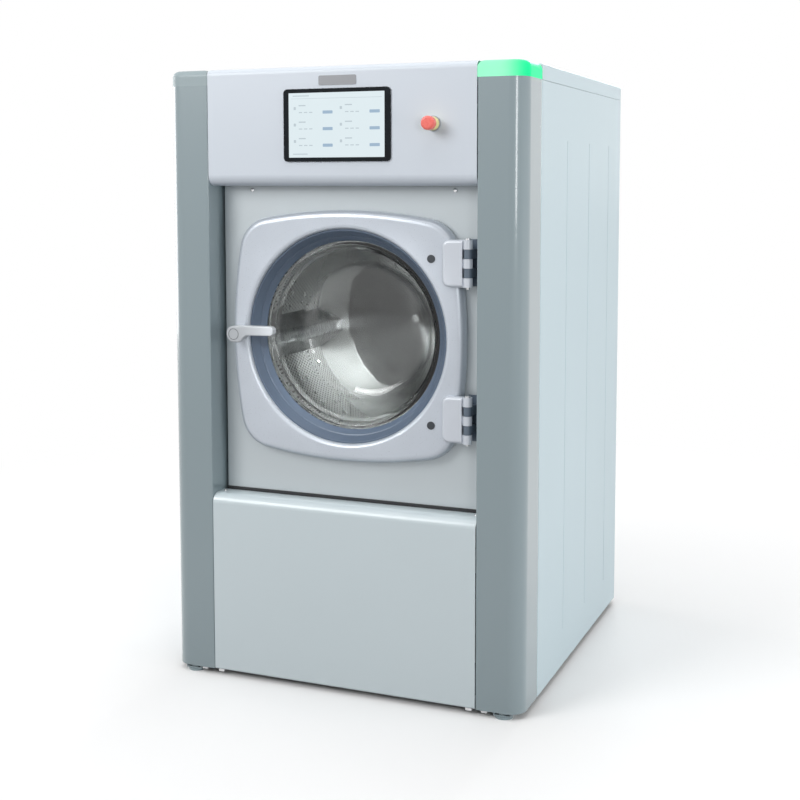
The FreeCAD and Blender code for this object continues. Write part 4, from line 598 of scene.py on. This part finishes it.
def plates(name, blanks, material, body, steps=5):
    """Flat plates facing the front, each a (width, depth, height), a centre and a corner radius."""
    shape = bmesh.new()
    for (width, depth, height), (x0, y0, z0), corner in blanks:
        outline = []
        for x_side, z_side, start in ((1, 1, 0), (-1, 1, 90), (-1, -1, 180), (1, -1, 270)):
            for step in range(steps + 1):
                turn = math.radians(start + 90 * step / steps)
                outline.append((x0 + x_side * (width / 2 - corner) + corner * math.cos(turn),
                                z0 + z_side * (height / 2 - corner) + corner * math.sin(turn)))
        back = [shape.verts.new((x, y0 + depth / 2, z)) for x, z in outline]
        front = [shape.verts.new((x, y0 - depth / 2, z)) for x, z in outline]
        shape.faces.new(back)
        shape.faces.new(front[::-1])
        count = len(outline)
        for step in range(count):
            after = (step + 1) % count
            shape.faces.new((back[step], front[step], front[after], back[after]))
    bmesh.ops.recalc_face_normals(shape, faces=shape.faces)
    return finished(name, shape, material, body)


def screws(name, places, radius, direction, material, body):
    """Low round screw heads that look along one direction."""
    shape = bmesh.new()
    turn = Vector((0, 0, 1)).rotation_difference(Vector(direction)).to_matrix().to_4x4()
    for place in places:
        head = bmesh.new()
        bmesh.ops.create_uvsphere(head, u_segments=20, v_segments=10, radius=radius)
        low = [vert for vert in head.verts if vert.co.z < -0.2 * radius]
        bmesh.ops.delete(head, geom=low, context="VERTS")
        head.transform(Matrix.Translation(place) @ turn @ Matrix.Diagonal((1, 1, 0.55, 1)))
        mesh = bpy.data.meshes.new(name)
        head.to_mesh(mesh)
        head.free()
        shape.from_mesh(mesh)
        bpy.data.meshes.remove(mesh)
    return finished(name, shape, material, body)


def make_window():
    """Smooth glass bowl with moulded rings near its rim, and the slate ring round it."""
    glass = lathe("glass_bowl", rounded(GLASS_OUTLINE), "glass", "door")
    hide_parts("door_glass")
    ring = lathe("window_ring", rounded(RING_OUTLINE), "ring_plastic", "door")
    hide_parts("door_ring")


def make_drum():
    """Smooth drum: perforated wall, plain front with its lip, and the conical back."""
    wall = lathe("drum_wall", WALL_OUTLINE, "drum_wall", "drum", turns=DRUM_TURNS)
    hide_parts("drum_shell")
    lathe("drum_front", rounded(MOUTH_OUTLINE), "stainless", "drum")
    back = lathe("drum_cone", rounded(CONE_OUTLINE), "drum_turned", "drum", turns=DRUM_TURNS)
    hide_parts("drum_back")


def make_flexible():
    """Fixed copies of the coil springs and hoses between the cabinet and the tub, in place of the frame's
    nodes.
    """
    for node, (cabinet_end, tub_end) in FLEXIBLE.items():
        piece = bpy.data.objects.new(node + "_flexible", NODES[node].data.copy())
        bpy.context.scene.collection.objects.link(piece)
        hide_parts(node)
        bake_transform(piece)


def on_screen(mark, x=0.0, z=0.0):
    """Flat piece for a mark of the screen, from the middle of the display or of a cell."""
    (width, height), (across, up), corner = mark
    centre = (x + across, SCREEN_Y - SCREEN_FILM / 2, DISPLAY_Z + z + up)
    return (width, SCREEN_FILM, height), centre, corner


def make_screen():
    """Plain layout on the touch screen: six cells with a mark, bars and a button each."""
    cells = [(x, z) for x in SCREEN_COLUMNS for z in SCREEN_ROWS]
    grey = [on_screen(mark) for mark in PAGE_MARKS]
    grey += [on_screen(mark, x, z) for x, z in cells for mark in CELL_MARKS]
    blue = [on_screen(CELL_BUTTON, x, z) for x, z in cells]
    plates("screen_bars", grey, "screen_grey", "cabinet")
    plates("screen_buttons", blue, "screen_blue", "cabinet")


def make_trim():
    """Blank plate over the display, screws, a dark strip painted as the shade in the gap above the ledge,
    white marks painted as highlights along the panels' bottom edges, and the line round the handle's boss.
    """
    plates("blank_plate", [BLANK_PLATE], "plate", "cabinet")
    for name, (places, radius, direction, body) in SCREWS.items():
        screws(name, places, radius, direction, "screw", body)
    # Dark strip painted as the shade in the gap between the door panel and the ledge
    plates("ledge_shade_strip", [LEDGE_SHADE_STRIP], "rubber", "cabinet")
    # White marks painted as highlights along the panels' bottom edges
    plates("skirt_glints", SKIRT_GLINTS, "skirt_glint", "cabinet")
    lathe("handle_line", HANDLE_LINE, "plug_plastic", "handle", HANDLE_AXIS, SMALL_TURNS)


def make_camera():
    """Camera that sees the machine as the photograph does."""
    data = bpy.data.cameras.new("camera")
    data.lens = CAMERA_LENS
    data.shift_x, data.shift_y = CAMERA_SHIFT
    camera = bpy.data.objects.new("camera", data)
    camera.location = CAMERA_PLACE
    camera.rotation_euler = (math.radians(90 - CAMERA_PITCH), 0, math.radians(CAMERA_YAW))
    bpy.context.scene.collection.objects.link(camera)
    bpy.context.scene.camera = camera


def lamp(name, place, aim, size, power):
    """Large soft lamp turned towards a point."""
    data = bpy.data.lights.new(name, "AREA")
    data.shape = "RECTANGLE"
    data.size, data.size_y = size
    data.energy = power
    made = bpy.data.objects.new(name, data)
    made.location = place
    made.rotation_euler = (Vector(aim) - Vector(place)).to_track_quat("-Z", "Y").to_euler()
    bpy.context.scene.collection.objects.link(made)
    return made


def window_beam(name, place, power):
    """Lamp with a narrow soft-edged beam into the drum."""
    data = bpy.data.lights.new(name, "SPOT")
    data.spot_size = math.radians(BEAM_ANGLE)
    data.spot_blend = BEAM_EDGE
    data.shadow_soft_size = BEAM_RADIUS
    data.energy = power
    made = bpy.data.objects.new(name, data)
    made.location = place
    made.rotation_euler = (Vector(WINDOW_AIM) - Vector(place)).to_track_quat("-Z", "Y").to_euler()
    bpy.context.scene.collection.objects.link(made)


def seen_directly(tree):
    """One for a ray that shows the surroundings: from the camera, in a reflection or through glass."""
    path = tree.nodes.new("ShaderNodeLightPath")
    value = path.outputs["Is Camera Ray"]
    for kind in ("Is Glossy Ray", "Is Transmission Ray"):
        larger = tree.nodes.new("ShaderNodeMath")
        larger.operation = "MAXIMUM"
        tree.links.new(value, larger.inputs[0])
        tree.links.new(path.outputs[kind], larger.inputs[1])
        value = larger.outputs["Value"]
    return value


def make_room():
    """White surroundings, soft lamps and a pale floor that takes the shadow."""
    world = bpy.data.worlds.new("room")
    world.use_nodes = True
    bpy.context.scene.world = world
    tree = world.node_tree
    back = tree.nodes["Background"]
    back.inputs["Color"].default_value = (1, 1, 1, 1)
    place = tree.nodes.new("ShaderNodeSeparateXYZ")
    tree.links.new(tree.nodes.new("ShaderNodeTexCoord").outputs["Generated"], place.inputs["Vector"])
    height = tree.nodes.new("ShaderNodeMapRange")
    height.inputs["From Min"].default_value = -ROOM_CHANGE
    height.inputs["From Max"].default_value = ROOM_CHANGE
    height.inputs["To Min"].default_value = ROOM_LOW_LIGHT
    height.inputs["To Max"].default_value = ROOM_LIGHT
    tree.links.new(place.outputs["Z"], height.inputs["Value"])
    level = tree.nodes.new("ShaderNodeMath")
    level.operation = "MAXIMUM"
    tree.links.new(seen_directly(tree), level.inputs[0])
    tree.links.new(height.outputs["Result"], level.inputs[1])
    tree.links.new(level.outputs["Value"], back.inputs["Strength"])
    lamps = {name: lamp(name, *values) for name, values in LAMPS.items()}
    # The side lamp stays out of reflections, so that the pillar shows one line of light
    lamps["side"].visible_glossy = False
    for name, (source, power) in WINDOW_BEAMS.items():
        window_beam(name, source, power)
    make_floor()


def make_floor():
    """Floor that takes the shadow, turns to plain white with distance and throws little light back up."""
    tree = Tree("floor")
    cloud = tree.noise(0.8, 2.0)
    tree.join(tree.spread(cloud, 0.88, 0.95), tree.shader.inputs["Roughness"])
    tree.set(Specular_IOR_Level=0.1)
    seen = seen_directly(tree.material.node_tree)
    colour = tree.add("ShaderNodeMix", data_type="RGBA")
    colour.inputs["A"].default_value = FLOOR_BOUNCE
    colour.inputs["B"].default_value = FLOOR_SEEN
    tree.join(seen, colour.inputs["Factor"])
    tree.join(colour.outputs["Result"], tree.shader.inputs["Base Color"])
    length = tree.add("ShaderNodeVectorMath", operation="LENGTH")
    tree.join(tree.place(), length.inputs[0])
    far = tree.add("ShaderNodeMapRange", interpolation_type="SMOOTHSTEP")
    far.inputs["From Min"].default_value, far.inputs["From Max"].default_value = FLOOR_FADE
    tree.join(length.outputs["Value"], far.inputs["Value"])
    white = tree.add("ShaderNodeEmission")
    blend = tree.add("ShaderNodeMixShader")
    tree.join(tree.sum("MULTIPLY", seen, far.outputs["Result"]), blend.inputs["Fac"])
    tree.join(tree.shader.outputs["BSDF"], blend.inputs[1])
    tree.join(white.outputs["Emission"], blend.inputs[2])
    tree.join(blend.outputs["Shader"], tree.output.inputs["Surface"])
    mesh = bpy.data.meshes.new("floor")
    corners = [(-FLOOR_HALF, -FLOOR_HALF, 0), (FLOOR_HALF, -FLOOR_HALF, 0),
               (FLOOR_HALF, FLOOR_HALF, 0), (-FLOOR_HALF, FLOOR_HALF, 0)]
    mesh.from_pydata(corners, [], [(0, 1, 2, 3)])
    mesh.materials.append(tree.material)
    floor = bpy.data.objects.new("floor", mesh)
    bpy.context.scene.collection.objects.link(floor)


make_window()
make_drum()
make_flexible()
make_screen()
make_trim()
make_camera()
make_room()

bpy.context.scene.view_settings.view_transform = "Standard"
